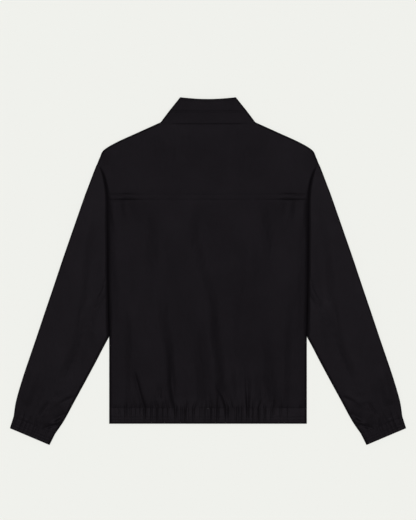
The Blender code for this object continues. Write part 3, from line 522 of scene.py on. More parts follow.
# Places along the cuff are measured from its outer corner
CUFF_GATHERS = tuple(Gather(*row) for row in (
    (9, 0.55, 2.6, 9, 0.1), (23, 0.95, 2.8, 20, -0.05), (33, 0.7, 2.6, 13, 0.1),
    (42, 0.52, 2.4, 8, 0.0), (53, 0.95, 2.8, 20, -0.3), (65, 0.98, 2.6, 17, -0.3),
    (73, 0.9, 2.4, 26, -0.45), (82, 1.05, 2.6, 14, -0.2), (95, 0.68, 2.6, 10, 0.0),
))
STEEP_WALL = 0.4
LEAST_FADE = 1e-6
HEM_GATHERING = 1.25
HEM_RUCHING = 0.38
HEM_RUCHING_PITCH = 6.6
RUCHING_STARTS_X = (-200, -160)
RUCHING_ENDS_X = (110, 180)
RUCHING_ABOVE_BAND = 0.5
RUCHING_REACH = 5
HEM_GATHER_AT_EDGE = 0.4
BAND_PUFF = 0.5
BAND_SINK = 0.45
BAND_SINK_ENDS = (170, 210)
BAND_SINK_REACH = 7
FOLD_RETURN = 28
FRONT_GATHER_SHARE = 0.55
FRONT_PLAIN_X = (24, 40)
CUFF_GATHER_LOSS = 0.4


def crease(apart, width):
    """A trough's profile, with a sharp bottom: steep where apart is below zero, and long opposite."""
    return np.exp(-np.abs(apart) / np.where(apart < 0, STEEP_WALL * width, width))


def ridge(apart, width):
    """A ridge's profile, with a round top."""
    return np.exp(-((apart / width) ** 2))


def fold_height(folds, x, y):
    """The folds' height at each place."""
    height = np.zeros(np.shape(x))
    for each in folds:
        apart, share = each.path.nearest(x, y)
        strength = ease(share, -LEAST_FADE, max(each.fade_in, LEAST_FADE))
        strength *= ease(1 - share, -LEAST_FADE, max(each.fade_out, LEAST_FADE))
        away = math.copysign(1, each.path.points[:, 0].mean())
        if each.back:
            toward = apart * math.copysign(1, each.back)
            middle = each.width / 2
            profile = ease(toward, -middle, middle) * (1 - ease(toward, middle, middle + abs(each.back)))
        else:
            profile = crease(apart * away, each.width) if each.height < 0 else ridge(apart, each.width)
        height += each.height * strength * profile
    return height


def ruching(x):
    """Fine uneven waves along the hem band, from -1 to 1, which die out toward its smooth ends."""
    phase = x / HEM_RUCHING_PITCH + 0.55 * np.sin(x / 17 + 0.6) + 0.3 * np.sin(x / 7.3)
    depth = 0.6 + 0.4 * np.sin(x / 9.1 + 1.1)
    return np.sin(2 * math.pi * phase) * depth * ease(x, *RUCHING_STARTS_X) * (1 - ease(x, *RUCHING_ENDS_X))


def gather_height(gathers, along, up):
    """The gathers' height, at places along a band and up from its seam."""
    height = np.zeros(np.shape(along))
    for each in gathers:
        line = along - each.place - each.lean * np.clip(up, 0, None)
        fade = ridge(np.clip(up, 0, None), each.reach)
        height -= each.depth * fade * crease(line, each.width)
    return height


# ---------------------------------------------------------------- heights of the body


def neck_rise(x, y):
    """The back rides over the collar's front and the zip's slider, which lie under it."""
    return NECK_RISE * ridge(x, NECK_RISE_WIDTH) * ease(y, *NECK_RISE_Y)


def band_sink(x):
    """How far the hem band's elastic pulls the cloth down along its seam, half as far at the sides."""
    return BAND_SINK * (1 - 0.5 * ease(np.abs(x), *BAND_SINK_ENDS))


def neck_dip(x, up):
    """The groove at the neck seam, which is deepest behind the neck, by the place up from that seam."""
    depth = NECK_DIP * (1 - NECK_DIP_LOSS * ease(np.abs(x), *NECK_DIP_ENDS))
    apart = up + NECK_DIP_DOWN
    return groove(np.abs(apart), 1.0, np.where(apart > 0, NECK_DIP_WIDTH, YOKE_DIP_WIDTH)) * depth


def armhole_share(y):
    """0 at the underarm and 1 at the head of the sleeve."""
    return ease(y, UNDERARM_Y, SLEEVE_HEAD_Y)


def edge_level(y):
    """Height of the cloth's edge at the side seam, and at the bottom of the armhole's groove above it."""
    return SEAM_LEVEL + ARMHOLE_RISE * armhole_share(y) + SLEEVE_HEAD_RISE * ease(y, *SLEEVE_HEAD_RISE_Y)


def edge_round(y):
    """Radius of the rounded edges of the body and of the sleeve beside it, wide round the underarm."""
    wide = ease(y, *UNDERARM_ROUND_LOW_Y) * (1 - ease(y, *UNDERARM_ROUND_HIGH_Y))
    return SIDE_ROUND + UNDERARM_ROUND * wide - armhole_share(y)


def turned_edge(distance, y):
    """The height of the side seam's full round, which softens into a shallow dip up the armhole."""
    full = rounding(distance, edge_round(y))
    shallow = 1 - (1 - np.clip(distance / edge_round(y), 0, 1)) ** 2
    return full + (shallow - full) * armhole_share(y)


def shoulder_droop(x, y):
    """How far the cloth sinks round the corner where the shoulder meets the armhole."""
    corner = np.hypot(np.abs(x) - SHOULDER_POINTS[0][0], y - SHOULDER_POINTS[0][1])
    return SHOULDER_DROOP * (1 - ease(corner, 0, SHOULDER_DROOP_REACH))


def yoke_welt(x, y):
    """The seam allowance under the yoke stands out up to its topstitching, with small puckers in it."""
    up = y - YOKE_Y
    welt = 0.16 * ease(up, 0, 3.0) * (1 - ease(up, YOKE_STITCH_UP, YOKE_STITCH_UP + 4))
    pucker = puckers(x, 0.06, 2, 13) * ridge(up - YOKE_STITCH_UP / 2, 7)
    ends = 0.3 + 1.2 * ease(np.abs(x), 145, 188) * (1 - 0.5 * ease(np.abs(x), 196, 212))
    dips = groove(np.abs(up - YOKE_STITCH_UP), *YOKE_STITCH_DIP) + groove(np.abs(up + 1), *YOKE_SEAM_DIP)
    return (welt - dips) * ends + pucker


def over_front(height):
    """Levels off the back's deepest creases near LEAST_TOP, which keeps them above the surface."""
    return LEAST_TOP_BLEND * np.logaddexp(height / LEAST_TOP_BLEND, LEAST_TOP / LEAST_TOP_BLEND)


def back_height(x, y):
    """Outer surface of the back, over the body and the yoke alike, without its edges."""
    height = TOP + fold_height(BACK_FOLDS, x, y) + neck_rise(x, y)
    height += HEM_GATHERING * gather_height(HEM_GATHERS, x, y - BAND_Y)
    height += yoke_welt(x, y)
    height -= neck_dip(x, y - NECK_Y) * (np.abs(x) < NECK_HALF)
    height -= shoulder_droop(x, y)
    from_edge = BODY_EDGE.distance(np.abs(x), y)
    height -= EDGE_DROOP * (1 - ease(from_edge, 0, EDGE_DROOP_WIDTH)) * (1 - ease(y, *EDGE_DROOP_END_Y))
    height += ruching(x) * HEM_RUCHING * RUCHING_ABOVE_BAND * np.exp(-((y - BAND_Y) / RUCHING_REACH))
    height -= band_sink(x) * np.exp(-np.clip(y - BAND_Y, 0, None) / BAND_SINK_REACH)
    return over_front(height - groove(np.abs(y - BAND_Y), *BAND_SEAM_DIP))


def with_back_edges(x, y, height):
    """Turns the back's edge down at the side seam, the armhole and the shoulder."""
    level = edge_level(y) + RIM_GAP / 2
    side = level + (height - level) * turned_edge(BODY_EDGE.distance(np.abs(x), y), y)
    seam = SEAM_LEVEL + RIM_GAP / 2
    shoulder = seam + (height - seam) * rounding(SHOULDER.distance(np.abs(x), y), EDGE_ROUND)
    return np.minimum(side, shoulder)


def zip_lift(x, y):
    """How far the fronts stand off the surface, over the zip's pull."""
    near = 1 - ease(np.abs(x), ZIP_LIFT_INNER_X, ZIP_LIFT_OUTER_X)
    return ZIP_LIFT * near * ease(y, ZIP_LIFT_LOW_Y, ZIP_LIFT_HIGH_Y)


def front_rim(y):
    """Height to which the front's edge turns up at the side seam and the armhole."""
    return SEAM_LEVEL - RIM_GAP / 2 - ARMHOLE_FRONT_DROP * armhole_share(y)


def front_gathers(x, up):
    """Gathers of the hidden side, raised off the surface, which leave the zip's edges plain."""
    return -FRONT_GATHER_SHARE * gather_height(HEM_GATHERS, x, up) * ease(np.abs(x), *FRONT_PLAIN_X)


def front_height(x, y):
    """Outer surface of the fronts, which lie on the surface and turn up at their edges."""
    rest = zip_lift(x, y) + fold_height(FRONT_FOLDS, x, y) + front_gathers(x, y - BAND_Y)
    rest += groove(np.abs(y - BAND_Y), *UNDER_SEAM_DIP)
    rest += groove(np.abs(np.abs(x) - PLACKET_STITCH_X), *UNDER_STITCH_DIP)
    rim = front_rim(y)
    side = rim + (rest - rim) * turned_edge(BODY_EDGE.distance(np.abs(x), y), y)
    seam = SEAM_LEVEL - RIM_GAP / 2
    shoulder = seam + (rest - seam) * rounding(SHOULDER.distance(np.abs(x), y), EDGE_ROUND)
    return np.maximum(side, shoulder)


# ---------------------------------------------------------------- meshes


def surface(x, y, z):
    return np.stack([x, y, z], axis=-1)


def steps(low, high, pitch):
    """Even places from low to high, about pitch apart."""
    return np.linspace(low, high, max(2, round(abs(high - low) / pitch) + 1))


def stretches(start, *ends):
    """Places on from start in several stretches, each given as where it ends and how far apart they are."""
    places = np.array([start])
    for end, pitch in ends:
        places = np.append(places, steps(places[-1], end, pitch)[1:])
    return places


def sided(name, side):
    """The name of a piece's right or left one."""
    return name + ("_right" if side > 0 else "_left")


def placed(name, data):
    """A new object in the scene."""
    made = bpy.data.objects.new(name, data)
    bpy.context.scene.collection.objects.link(made)
    return made


def spread(start, end, inner):
    """Lines across a panel as (share, offset) pairs: start and end are distances in from its two edges."""
    share = np.linspace(0, 1, inner + 2)[1:-1]
    first, last = max(start), max(end)
    between = np.stack([share, first - (first + last) * share], axis=1)
    left = np.stack([np.zeros(len(start)), start], axis=1)
    right = np.stack([np.ones(len(end)), -np.array(end)], axis=1)[::-1]
    return np.vstack([left, between, right])


def edge_steps(radius):
    """Distances in from a rounded edge at which it is given points."""
    return [radius * (1 - math.cos(math.radians(angle))) for angle in (0, 7, 18, 30, 42, 54, 66, 78, 90)]


def panel_plan(bottom, top, left, right, columns, rows):
    """The places of a panel's points between its four boundary paths."""
    share = columns[:, 0]
    height = np.linalg.norm(top.at(share) - bottom.at(share), axis=-1)
    v = np.clip(rows[:, None, 0] + rows[:, None, 1] / height[None, :], 0, 1)
    width = np.linalg.norm(right.at(rows[:, 0]) - left.at(rows[:, 0]), axis=-1)
    u = np.clip(columns[None, :, 0] + columns[None, :, 1] / width[:, None], 0, 1)
    across = (1 - v)[..., None] * bottom.at(u) + v[..., None] * top.at(u)
    along = (1 - u)[..., None] * left.at(v) + u[..., None] * right.at(v)
    corners = [path.at(end) for path in (bottom, top) for end in (0.0, 1.0)]
    u, v = u[..., None], v[..., None]
    flat = (1 - v) * ((1 - u) * corners[0] + u * corners[1]) + v * ((1 - u) * corners[2] + u * corners[3])
    plan = across + along - flat
    return plan[..., 0], plan[..., 1]


def rows_at(side, levels):
    """Rows across a panel that meet its side path at the given heights along Y."""
    share = np.interp(levels, side.points[:, 1], side.lengths / side.length)
    return np.stack([share, np.zeros(len(share))], axis=1)


def top_rows(radius):
    """The rows of a rounded top edge, from where the round begins to the edge."""
    return np.array([(1.0, -step) for step in reversed(edge_steps(radius))])


def line(first, last):
    return Path([first, last])


def face_areas(points):
    """Each face's area as a vector that points along its normal."""
    return np.cross(points[1:, 1:] - points[:-1, :-1], points[1:, :-1] - points[:-1, 1:]) / 2


def looks_outward(points, outward):
    """Whether the faces of a grid point up, down, or away from its own middle, as asked."""
    areas = face_areas(points)
    if outward == "away":
        middles = (points[1:, 1:] + points[:-1, :-1]) / 2
        return ((middles - points.mean((0, 1))) * areas).sum() > 0
    return (areas[..., 2].sum() > 0) == (outward == "up")


def grid_mesh(name, points, outward):
    """A grid of points as a mesh, with a UV map that measures the cloth in metres across and along."""
    rows, columns = points.shape[:2]
    index = np.arange(rows * columns).reshape(rows, columns)
    faces = np.stack([index[:-1, :-1], index[:-1, 1:], index[1:, 1:], index[1:, :-1]], axis=-1).reshape(-1, 4)
    if not looks_outward(points, outward):
        faces = faces[:, ::-1]
    mesh = bpy.data.meshes.new(name)
    mesh.from_pydata((points.reshape(-1, 3) * MM).tolist(), [], faces.tolist())
    across = np.cumsum(np.linalg.norm(np.diff(points, axis=1, prepend=points[:, :1]), axis=-1), axis=1)
    across -= across[:, -1:] / 2
    along = np.cumsum(np.linalg.norm(np.diff(points, axis=0, prepend=points[:1]), axis=-1), axis=0)
    place = np.stack([across, along], axis=-1).reshape(-1, 2) * MM
    corners = np.zeros(len(mesh.loops), int)
    mesh.loops.foreach_get("vertex_index", corners)
    weave = mesh.uv_layers.new(name="weave")
    weave.data.foreach_set("uv", place[corners].ravel().astype(np.float32))
    mesh.shade_smooth()
    ends = np.zeros(2 * len(mesh.edges), int)
    mesh.edges.foreach_get("vertices", ends)
    row, column = np.divmod(ends.reshape(-1, 2), columns)
    borders = ((row, 0), (row, rows - 1), (column, 0), (column, columns - 1))
    rim = [(lines == border).all(axis=1) for lines, border in borders]
    mesh.edges.foreach_set("use_edge_sharp", np.any(rim, axis=0))
    return mesh


Cloth = namedtuple("Cloth", "piece flat area")


def cloth_piece(replaced, points, outward, wall, finish):
    """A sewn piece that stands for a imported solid: its outer surface as a grid, given its wall inwards."""
    name = "cloth_" + replaced
    piece = placed(name, grid_mesh(name, points, outward))
    piece.data.materials.append(finish)
    shell = piece.modifiers.new("wall", "SOLIDIFY")
    shell.thickness = wall * MM
    shell.offset = -1
    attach(piece, "root")
    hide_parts(replaced)
    width = np.linalg.norm(np.diff(points, axis=1), axis=-1).sum(1).max() * MM
    length = np.linalg.norm(np.diff(points, axis=0), axis=-1).sum(0).max() * MM
    area = np.linalg.norm(face_areas(points), axis=-1).sum() * MM * MM
    return Cloth(piece, (float(width), float(length)), float(area))


# ---------------------------------------------------------------- the body


def make_back_body(finish):
    low, high = BAND_Y + SEAM_GAP / 2, YOKE_Y - SEAM_GAP / 2
    side = BODY_EDGE.between(low, high)
    half_low, half_high = side.points[0, 0], side.points[-1, 0]
    levels = stretches(low, (low + 4, 1.0), (low + 70, 2.0), (high - 5, 3.3), (high, 1.0))
    edge = edge_steps(EDGE_ROUND)
    x, y = panel_plan(
        line((-half_low, low), (half_low, low)), line((-half_high, high), (half_high, high)),
        side.mirrored(), side, spread(edge, edge, 205), rows_at(side, levels),
    )
    points = surface(x, y, with_back_edges(x, y, back_height(x, y)))
    return cloth_piece("back_body", points, "up", WALL, finish)


def make_back_yoke(finish):
    low = YOKE_Y + SEAM_GAP / 2
    side = BODY_EDGE.between(low, BODY_EDGE_POINTS[-1][1])
    half = side.points[0, 0]
    neck = Path([(NECK_HALF, NECK_Y), (-NECK_HALF, NECK_Y)])
    top = joined(SHOULDER, neck, SHOULDER.mirrored().backwards()).backwards()
    edge = edge_steps(3.0)
    levels = stretches(low, (low + 16, 0.8), (side.points[-1, 1], 1.5))
    rows = np.vstack([rows_at(side, levels)[:-4], top_rows(EDGE_ROUND)])
    columns = spread(edge, edge, 200)
    x, y = panel_plan(line((-half, low), (half, low)), top, side.mirrored(), side, columns, rows)
    points = surface(x, y, with_back_edges(x, y, back_height(x, y)))
    return cloth_piece("back_yoke", points, "up", WALL, finish)


def make_front(side, finish):
    low = BAND_Y + SEAM_GAP / 2
    outer = BODY_EDGE.between(low, BODY_EDGE_POINTS[-1][1])
    top = joined(Path(FRONT_NECK_POINTS), SHOULDER.backwards())
    levels = stretches(low, (low + 70, 2.5), (outer.points[-1, 1], 3.6))
    rows = np.vstack([rows_at(outer, levels)[:-2], top_rows(EDGE_ROUND)])
    x, y = panel_plan(
        line((FRONT_EDGE_X, low), (outer.points[0, 0], low)), top,
        line((FRONT_EDGE_X, low), (FRONT_EDGE_X, FRONT_NECK_Y)), outer,
        spread([0.0], edge_steps(EDGE_ROUND), 84), rows,
    )
    points = surface(side * x, y, front_height(x, y))
    return cloth_piece(sided("front", side), points, "down", WALL, finish)


def band_puff(up):
    """The hem band stands out between its stitches, which draw it in."""
    puff = BAND_PUFF * ease(up, 0, 5) * (1 - ease(up, BAND_Y - HEM_Y - 8, BAND_Y - HEM_Y))
    return puff - stitch_dips(up, BAND_STITCHES_UP, *BAND_STITCH_DIP)


def hem_back_height(x, y):
    near_seam = ease(y, HEM_Y, BAND_Y)
    gathering = HEM_GATHER_AT_EDGE + (HEM_GATHERING - HEM_GATHER_AT_EDGE) * near_seam
    gathers = gather_height(HEM_GATHERS, x, y - BAND_Y) * gathering
    gathers += ruching(x) * HEM_RUCHING * (0.55 + 0.2 * near_seam)
    above = fold_height(BACK_FOLDS, x, 0 * y + BAND_Y) * ease(y, BAND_Y - FOLD_RETURN, BAND_Y)
    dip = groove(np.abs(y - BAND_Y), *BAND_SEAM_DIP)
    swell = over_front(TOP + gathers + above + band_puff(y - HEM_Y) - dip)
    swell -= turned_end(y - HEM_Y, HEM_TURN) + band_sink(x) * ease(y, HEM_Y + 4, BAND_Y)
    level = SEAM_LEVEL + RIM_GAP / 2
    return level + (swell - level) * rounding(HEM_HALF - np.abs(x), SIDE_ROUND)


def hem_front_height(x, y):
    rest = turned_end(y - HEM_Y, HEM_UNDER_TURN) + front_gathers(x, 0 * y)
    rest += groove(np.abs(y - BAND_Y), *UNDER_SEAM_DIP)
    rest += stitch_dips(y - HEM_Y, BAND_STITCHES_UP, *UNDER_STITCH_DIP)
    rim = SEAM_LEVEL - RIM_GAP / 2
    return rim + (rest - rim) * rounding(HEM_HALF - np.abs(x), EDGE_ROUND)


def band_plan(inner_x, columns):
    """Places of a hem band's points from inner_x to its outer edge."""
    high = BAND_Y - SEAM_GAP / 2
    near_hem = [END_ROUND * (1 - math.cos(math.radians(angle))) for angle in (0, 12, 30, 50, 70, 90)]
    rows = spread(near_hem, [0.0, 0.6, 1.4, 2.4, 4.0], round((high - HEM_Y) / 1.5))
    return panel_plan(
        line((inner_x, HEM_Y), (HEM_HALF, HEM_Y)), line((inner_x, high), (HEM_HALF, high)),
        line((inner_x, HEM_Y), (inner_x, high)), line((HEM_HALF, HEM_Y), (HEM_HALF, high)), columns, rows,
    )


def make_hem_back(finish):
    edge = edge_steps(EDGE_ROUND)
    x, y = band_plan(-HEM_HALF, spread(edge, edge, 330))
    points = surface(x, y, hem_back_height(x, y))
    return cloth_piece("hem_back", points, "up", BAND_WALL, finish)


def make_hem_front(side, finish):
    x, y = band_plan(FRONT_EDGE_X, spread([0.0], edge_steps(EDGE_ROUND), 130))
    points = surface(side * x, y, hem_front_height(x, y))
    return cloth_piece(sided("hem_front", side), points, "down", BAND_WALL, finish)


# ---------------------------------------------------------------- sleeves and cuffs


def sleeve_section(station):
    """The row of SLEEVE_SECTIONS at a station, where 0 is the first and whole numbers are the rows.

    It is smooth between them but for a corner at LEAVING_SECTION, where the sleeve parts from the body.
    """
    table = np.array(SLEEVE_SECTIONS)
    padded = np.vstack([2 * table[0] - table[1], table, 2 * table[-1] - table[-2]])
    k = int(min(math.floor(station), len(table) - 2))
    a, b, c, d = padded[k : k + 4]
    if k == LEAVING_SECTION:
        a = 2 * b - c
    if k == LEAVING_SECTION - 1:
        d = 2 * c - b
    section = Section(*between_knots((a, b, c, d), station - k))
    edge = float(BODY_EDGE.x_at(section.inner_y))
    beside_body = section.inner_y > SLEEVE_LEAVES_Y or section.inner_x < edge
    inner_x = edge - SEAM_OVERLAP if beside_body else section.inner_x
    return section._replace(inner_x=inner_x, seam=max(section.seam, 0.0))


def strip_arcs(seam_arc, quarter, count):
    """Places round the inner fold and up to the seam, measured from the fold; -quarter is at its underside."""
    last = seam_arc - 0.35
    even = -quarter + (last + quarter) * np.arange(1, count) / (count - 1)
    turn = count * 2 // 5
    fold_part = -quarter + 2 * quarter * np.arange(1, turn + 1) / turn
    rest = quarter + (last - quarter) * np.arange(1, count - turn) / (count - turn - 1)
    wide = ease(seam_arc, quarter, 3 * quarter)
    return np.append(even + (np.append(fold_part, rest) - even) * wide, seam_arc)


# A flattened tube: its outer surfaces, how many columns its three stretches have, and the dip at its seam
Tube = namedtuple("Tube", "back front counts seam_dip")
SEAM_STEPS = (SEAM_GAP / 3, 0.4, 0.9, 1.6, 2.4, 3.4, 4.6, 6.0, 7.6)
SEAM_DIP_WIDTH = 4


def tube_row(outer, inner, seam, tube, inner_level, front_level):
    """One line round a flattened tube, from its seam over the back and under the front to the seam."""
    outer, inner = np.array(outer), np.array(inner)
    width = np.linalg.norm(outer - inner)
    toward = (outer - inner) / width
    outer_round = min(OUTER_ROUND, width / 3)
    radius = min(float(edge_round(inner[1])), width / 3)
    quarter = radius * math.pi / 2
    seam_arc = seam - radius + quarter if seam > radius else quarter * seam / radius
    turn = outer_round * (1 - np.cos(np.radians(np.arange(90, -1, -15))))

    def along(arc):
        bend = np.minimum(np.abs(arc), quarter) / radius
        return radius * (1 - np.cos(bend)) + np.maximum(np.abs(arc) - quarter, 0)

    far = width - outer_round
    near = along(seam_arc + np.array(SEAM_STEPS) * min(1, 0.08 * (far - seam)))
    reach_back = np.linspace(0, 1, tube.counts[0] + 1)[1:-1]
    across_back = np.concatenate([near, near[-1] + (far - near[-1]) * reach_back, width - turn])
    reach_front = np.linspace(0, 1, tube.counts[1] + 1)[1:]
    across_front = np.concatenate([width - turn[-2::-1], far + (radius - far) * reach_front])
    arcs = strip_arcs(seam_arc - SEAM_GAP / 3, quarter, tube.counts[2])
    across = np.concatenate([across_back, across_front, along(arcs)])
    on_back = np.repeat([True, False], [len(across_back), len(across_front)])
    on_back = np.append(on_back, arcs > 0)
    place = inner + across[:, None] * toward
    x, y = place[:, 0], place[:, 1]
    soft = float(armhole_share(inner[1]))
    shallow = 1 - (1 - np.clip(across / radius, 0, 1)) ** 2
    turn_in = rounding(across, radius) * (1 - soft) + shallow * soft
    top = inner_level + (tube.back(x, y) - inner_level) * turn_in
    top -= groove(np.abs(across - seam), tube.seam_dip, SEAM_DIP_WIDTH) * (seam > radius)
    low = front_level + (tube.front(x, y) - front_level) * turn_in
    level = np.where(on_back, top, low)
    return surface(x, y, SEAM_LEVEL + (level - SEAM_LEVEL) * rounding(width - across, outer_round))


CUFF_START = SLEEVE_SECTIONS[-1]


def cuff_place(x, y):
    """How far a place is along the cuff's seam from its outer corner, and how far up the sleeve."""
    corner = np.array([CUFF_START.outer_x, CUFF_START.outer_y])
    run = np.array([CUFF_START.inner_x, CUFF_START.inner_y]) - corner
    run /= np.linalg.norm(run)
    off_x, off_y = x - corner[0], y - corner[1]
    return off_x * run[0] + off_y * run[1], off_x * run[1] - off_y * run[0]


def cuff_gathers(x, y):
    along, up = cuff_place(x, y)
    return gather_height(CUFF_GATHERS, along, up)


def make_sleeve(side, points, finish):
    return cloth_piece(sided("sleeve", side), points * (side, 1, 1), "away", WALL, finish)


def sleeve_stations():
    """Places down the sleeve for its rows, about 3 mm apart, and closer by the cuff."""
    stations = []
    for k in range(LAST_SECTION):
        start, end = SLEEVE_SECTIONS[k], SLEEVE_SECTIONS[k + 1]
        outer_run = math.hypot(end.outer_x - start.outer_x, end.outer_y - start.outer_y)
        inner_run = math.hypot(end.inner_x - start.inner_x, end.inner_y - start.inner_y)
        pitch = 3.1 if k < LAST_SECTION - 2 else 2.0
        stations += list(k + np.linspace(0, 1, round(max(outer_run, inner_run) / pitch), endpoint=False))
    return stations + [LAST_SECTION - 0.02, LAST_SECTION]


def sleeve_row(station):
    """One line round the right sleeve."""
    section = sleeve_section(station)
    outer, inner = (section.outer_x, section.outer_y), (section.inner_x, section.inner_y)
    run = np.array(outer) - np.array(inner)
    run /= np.linalg.norm(run)
    start_dip = 0.7 * math.exp(-station / 0.25)

    def back(x, y):
        from_inner = (x - inner[0]) * run[0] + (y - inner[1]) * run[1]
        pucker = puckers(y, 0.08, 1.5, 17) * ridge(from_inner - section.seam, 6) * (section.seam > 5)
        end_dip = groove(np.abs(cuff_place(x, y)[1]), *CUFF_SEAM_DIP)
        height = TOP + section.lift + fold_height(SLEEVE_FOLDS, x, y) - shoulder_droop(x, y)
        height -= SLEEVE_DROOP * min(1, section.lift) * (1 - ease(from_inner, 0, SLEEVE_DROOP_WIDTH))
        return height + cuff_gathers(x, y) + pucker - start_dip - end_dip

    def front(x, y):
        end_dip = groove(np.abs(cuff_place(x, y)[1]), *UNDER_SEAM_DIP)
        return fold_height(SLEEVE_FRONT_FOLDS, x, y) - FRONT_GATHER_SHARE * cuff_gathers(x, y) + end_dip

    above = section.inner_y > UNDERARM_Y
    inner_level = float(edge_level(section.inner_y)) if above else SEAM_LEVEL
    front_level = float(front_rim(section.inner_y)) if above else SEAM_LEVEL
    tube = Tube(back, front, (48, 34, 30), 0.08)
    return tube_row(outer, inner, section.seam, tube, inner_level, front_level)


def sleeve_points():
    """The right sleeve's outer surface, a row of points for each station."""
    return np.array([sleeve_row(station) for station in sleeve_stations()])


def make_cuff(side, points, finish):
    return cloth_piece(sided("cuff", side), points * (side, 1, 1), "away", BAND_WALL, finish)


def cuff_line(share):
    """The outer and inner ends of a line across the cuff, at a share of the way from its seam to its end."""
    start_outer = np.array([CUFF_START.outer_x, CUFF_START.outer_y])
    start_inner = np.array([CUFF_START.inner_x, CUFF_START.inner_y])
    outer = start_outer + (np.array(CUFF_OUTER_END) - start_outer) * share
    inner = start_inner + (np.array(CUFF_INNER_END) - start_inner) * share
    return outer, inner


CUFF_LENGTH = float(np.linalg.norm(cuff_line(1.0)[0] - cuff_line(0.0)[0]))


def cuff_top(share, x, y):
    """Outer surface of the cuff's back at a share of the way to its end."""
    up = CUFF_LENGTH * (1 - share)
    puff = BAND_PUFF * ease(CUFF_LENGTH * share, 0, 4)
    dips = stitch_dips(up, CUFF_STITCHES_UP, *CUFF_STITCH_DIP) + groove(CUFF_LENGTH * share, *CUFF_SEAM_DIP)
    gathers = cuff_gathers(x, y) * (1 - CUFF_GATHER_LOSS * share)
    return TOP + puff + gathers - turned_end(up, CUFF_TURN) - dips


def cuff_under(share, x, y):
    """Outer surface of the cuff's hidden side, raised a little at its gathers and stitches."""
    up = CUFF_LENGTH * (1 - share)
    height = turned_end(up, CUFF_UNDER_TURN) - FRONT_GATHER_SHARE * cuff_gathers(x, y)
    return height + stitch_dips(up, CUFF_STITCHES_UP, *CUFF_UNDER_STITCH_DIP)


def cuff_points():
    rows = []
    ends = CUFF_LENGTH - np.array([2.0, 1.2, 0.7, 0.3, 0.1, 0.0])
    downs = np.concatenate([[SEAM_GAP], steps(1.0, CUFF_LENGTH - 3.2, 1.2), ends])
    for share in downs / CUFF_LENGTH:
        outer, inner = cuff_line(share)
        tube = Tube(partial(cuff_top, share), partial(cuff_under, share), (80, 60, 34), 0.35)
        rows.append(tube_row(outer, inner, CUFF_START.seam, tube, SEAM_LEVEL, SEAM_LEVEL))
    return np.array(rows)


# ---------------------------------------------------------------- collar


def collar_front_y(bend, front_y, level_y):
    return front_y + (level_y - front_y) * (0.35 * bend + 0.65 * bend**2)


def collar_back_z(share, x):
    """Outer surface of the collar's back, with a dip at the neck seam and a ledge half way up."""
    up = share * COLLAR_HEIGHT
    start = TOP + neck_rise(x, NECK_Y)
    height = start + (COLLAR_TOP_HEIGHT - start) * ease(share, 0, 0.8)
    ledge = COLLAR_LEDGE * ease(up, COLLAR_LEDGE_UP - 1.0, COLLAR_LEDGE_UP + 1.5)
    dip = groove(np.abs(up - COLLAR_LEDGE_UP), *COLLAR_LEDGE_DIP)
    stitch = groove(np.abs(COLLAR_HEIGHT - COLLAR_STITCH_DOWN - up), *COLLAR_STITCH_DIP)
    turned = turned_end((1 - share) * COLLAR_HEIGHT, COLLAR_TURN)
    droop = COLLAR_DROOP * ease(np.abs(x), *COLLAR_DROOP_X) * ease(share, 0, 0.6)
    return height + ledge - dip - stitch - neck_dip(x, up) - turned - droop


def collar_row(share):
    """One line along the collar, from the front edge at +X round the back to the other front edge."""
    level_y = NECK_Y + COLLAR_HEIGHT * share
    half = float(COLLAR_EDGE.x_at(level_y))
    front_y = FRONT_NECK_Y + SEAM_GAP + (COLLAR_FRONT_TOP_Y - FRONT_NECK_Y) * share
    radius = COLLAR_ROUND
    span = half - FRONT_EDGE_X
    front_x = FRONT_EDGE_X + (span - radius) * np.linspace(0, 1, 36)
    front_line = collar_front_y((front_x - FRONT_EDGE_X) / span, front_y, level_y)
    turn = np.radians(np.arange(-75, 76, 15))
    turn_x = half - radius * (1 - np.cos(turn))
    turn_line = collar_front_y((turn_x - FRONT_EDGE_X) / span, front_y, level_y)
    turn_y = np.where(turn < 0, turn_line, level_y)
    back_x = (half - radius) * np.linspace(1, 0, COLLAR_BACK_COLUMNS)
    dip = COLLAR_TOP_DIP * ease(share, 0.6, 1)
    back_y = level_y - dip * np.cos(back_x / half * math.pi / 2)
    back_z = collar_back_z(share, back_x)
    edge_turn = turned_end((1 - share) * COLLAR_HEIGHT, COLLAR_TURN)
    front_z = zip_lift(front_x, front_line) + COLLAR_UNDER_TURN_SHARE * edge_turn
    near_end = np.where(turn < 0, SEAM_LEVEL - front_z[-1], back_z[0] - SEAM_LEVEL)
    turn_z = SEAM_LEVEL + near_end * np.sin(turn)
    x = np.concatenate([front_x, turn_x, back_x])
    y = np.concatenate([front_line, turn_y, back_y])
    z = np.concatenate([front_z, turn_z, back_z])
    half_row = surface(x, y, z)
    return np.vstack([half_row, half_row[-2::-1] * (-1, 1, 1)])


def make_collar(finish):
    ends = COLLAR_HEIGHT - np.array([2.0, 1.3, 0.7, 0.3, 0.0])
    ups = np.concatenate([steps(0.0, 4.0, 0.7), steps(5.2, COLLAR_HEIGHT - 3.2, 1.3), ends])
    points = np.array([collar_row(share) for share in ups / COLLAR_HEIGHT])
    return cloth_piece("collar", points, "away", COLLAR_WALL, finish)


# ---------------------------------------------------------------- zip


def zip_line(x, z):
    """The places of a straight line along the zip, bent up where the pull lies under it."""
    y = stretches(CHAIN_LOW_Y, (ZIP_LIFT_LOW_Y, 12.0), (TAPE_HIGH_Y, 2.0))
    return surface(0 * y + x, y, z + zip_lift(0 * y, y))


def make_zip_tape(side, finish):
    across = np.linspace(TAPE_INNER_X, TAPE_OUTER_X, 9)
    points = np.stack([zip_line(side * x, TAPE_BOTTOM) for x in across], axis=1)
    return cloth_piece(sided("zip_tape", side), points, "down", TAPE_WALL, finish)


# ---------------------------------------------------------------- repeats: stitches and zip teeth


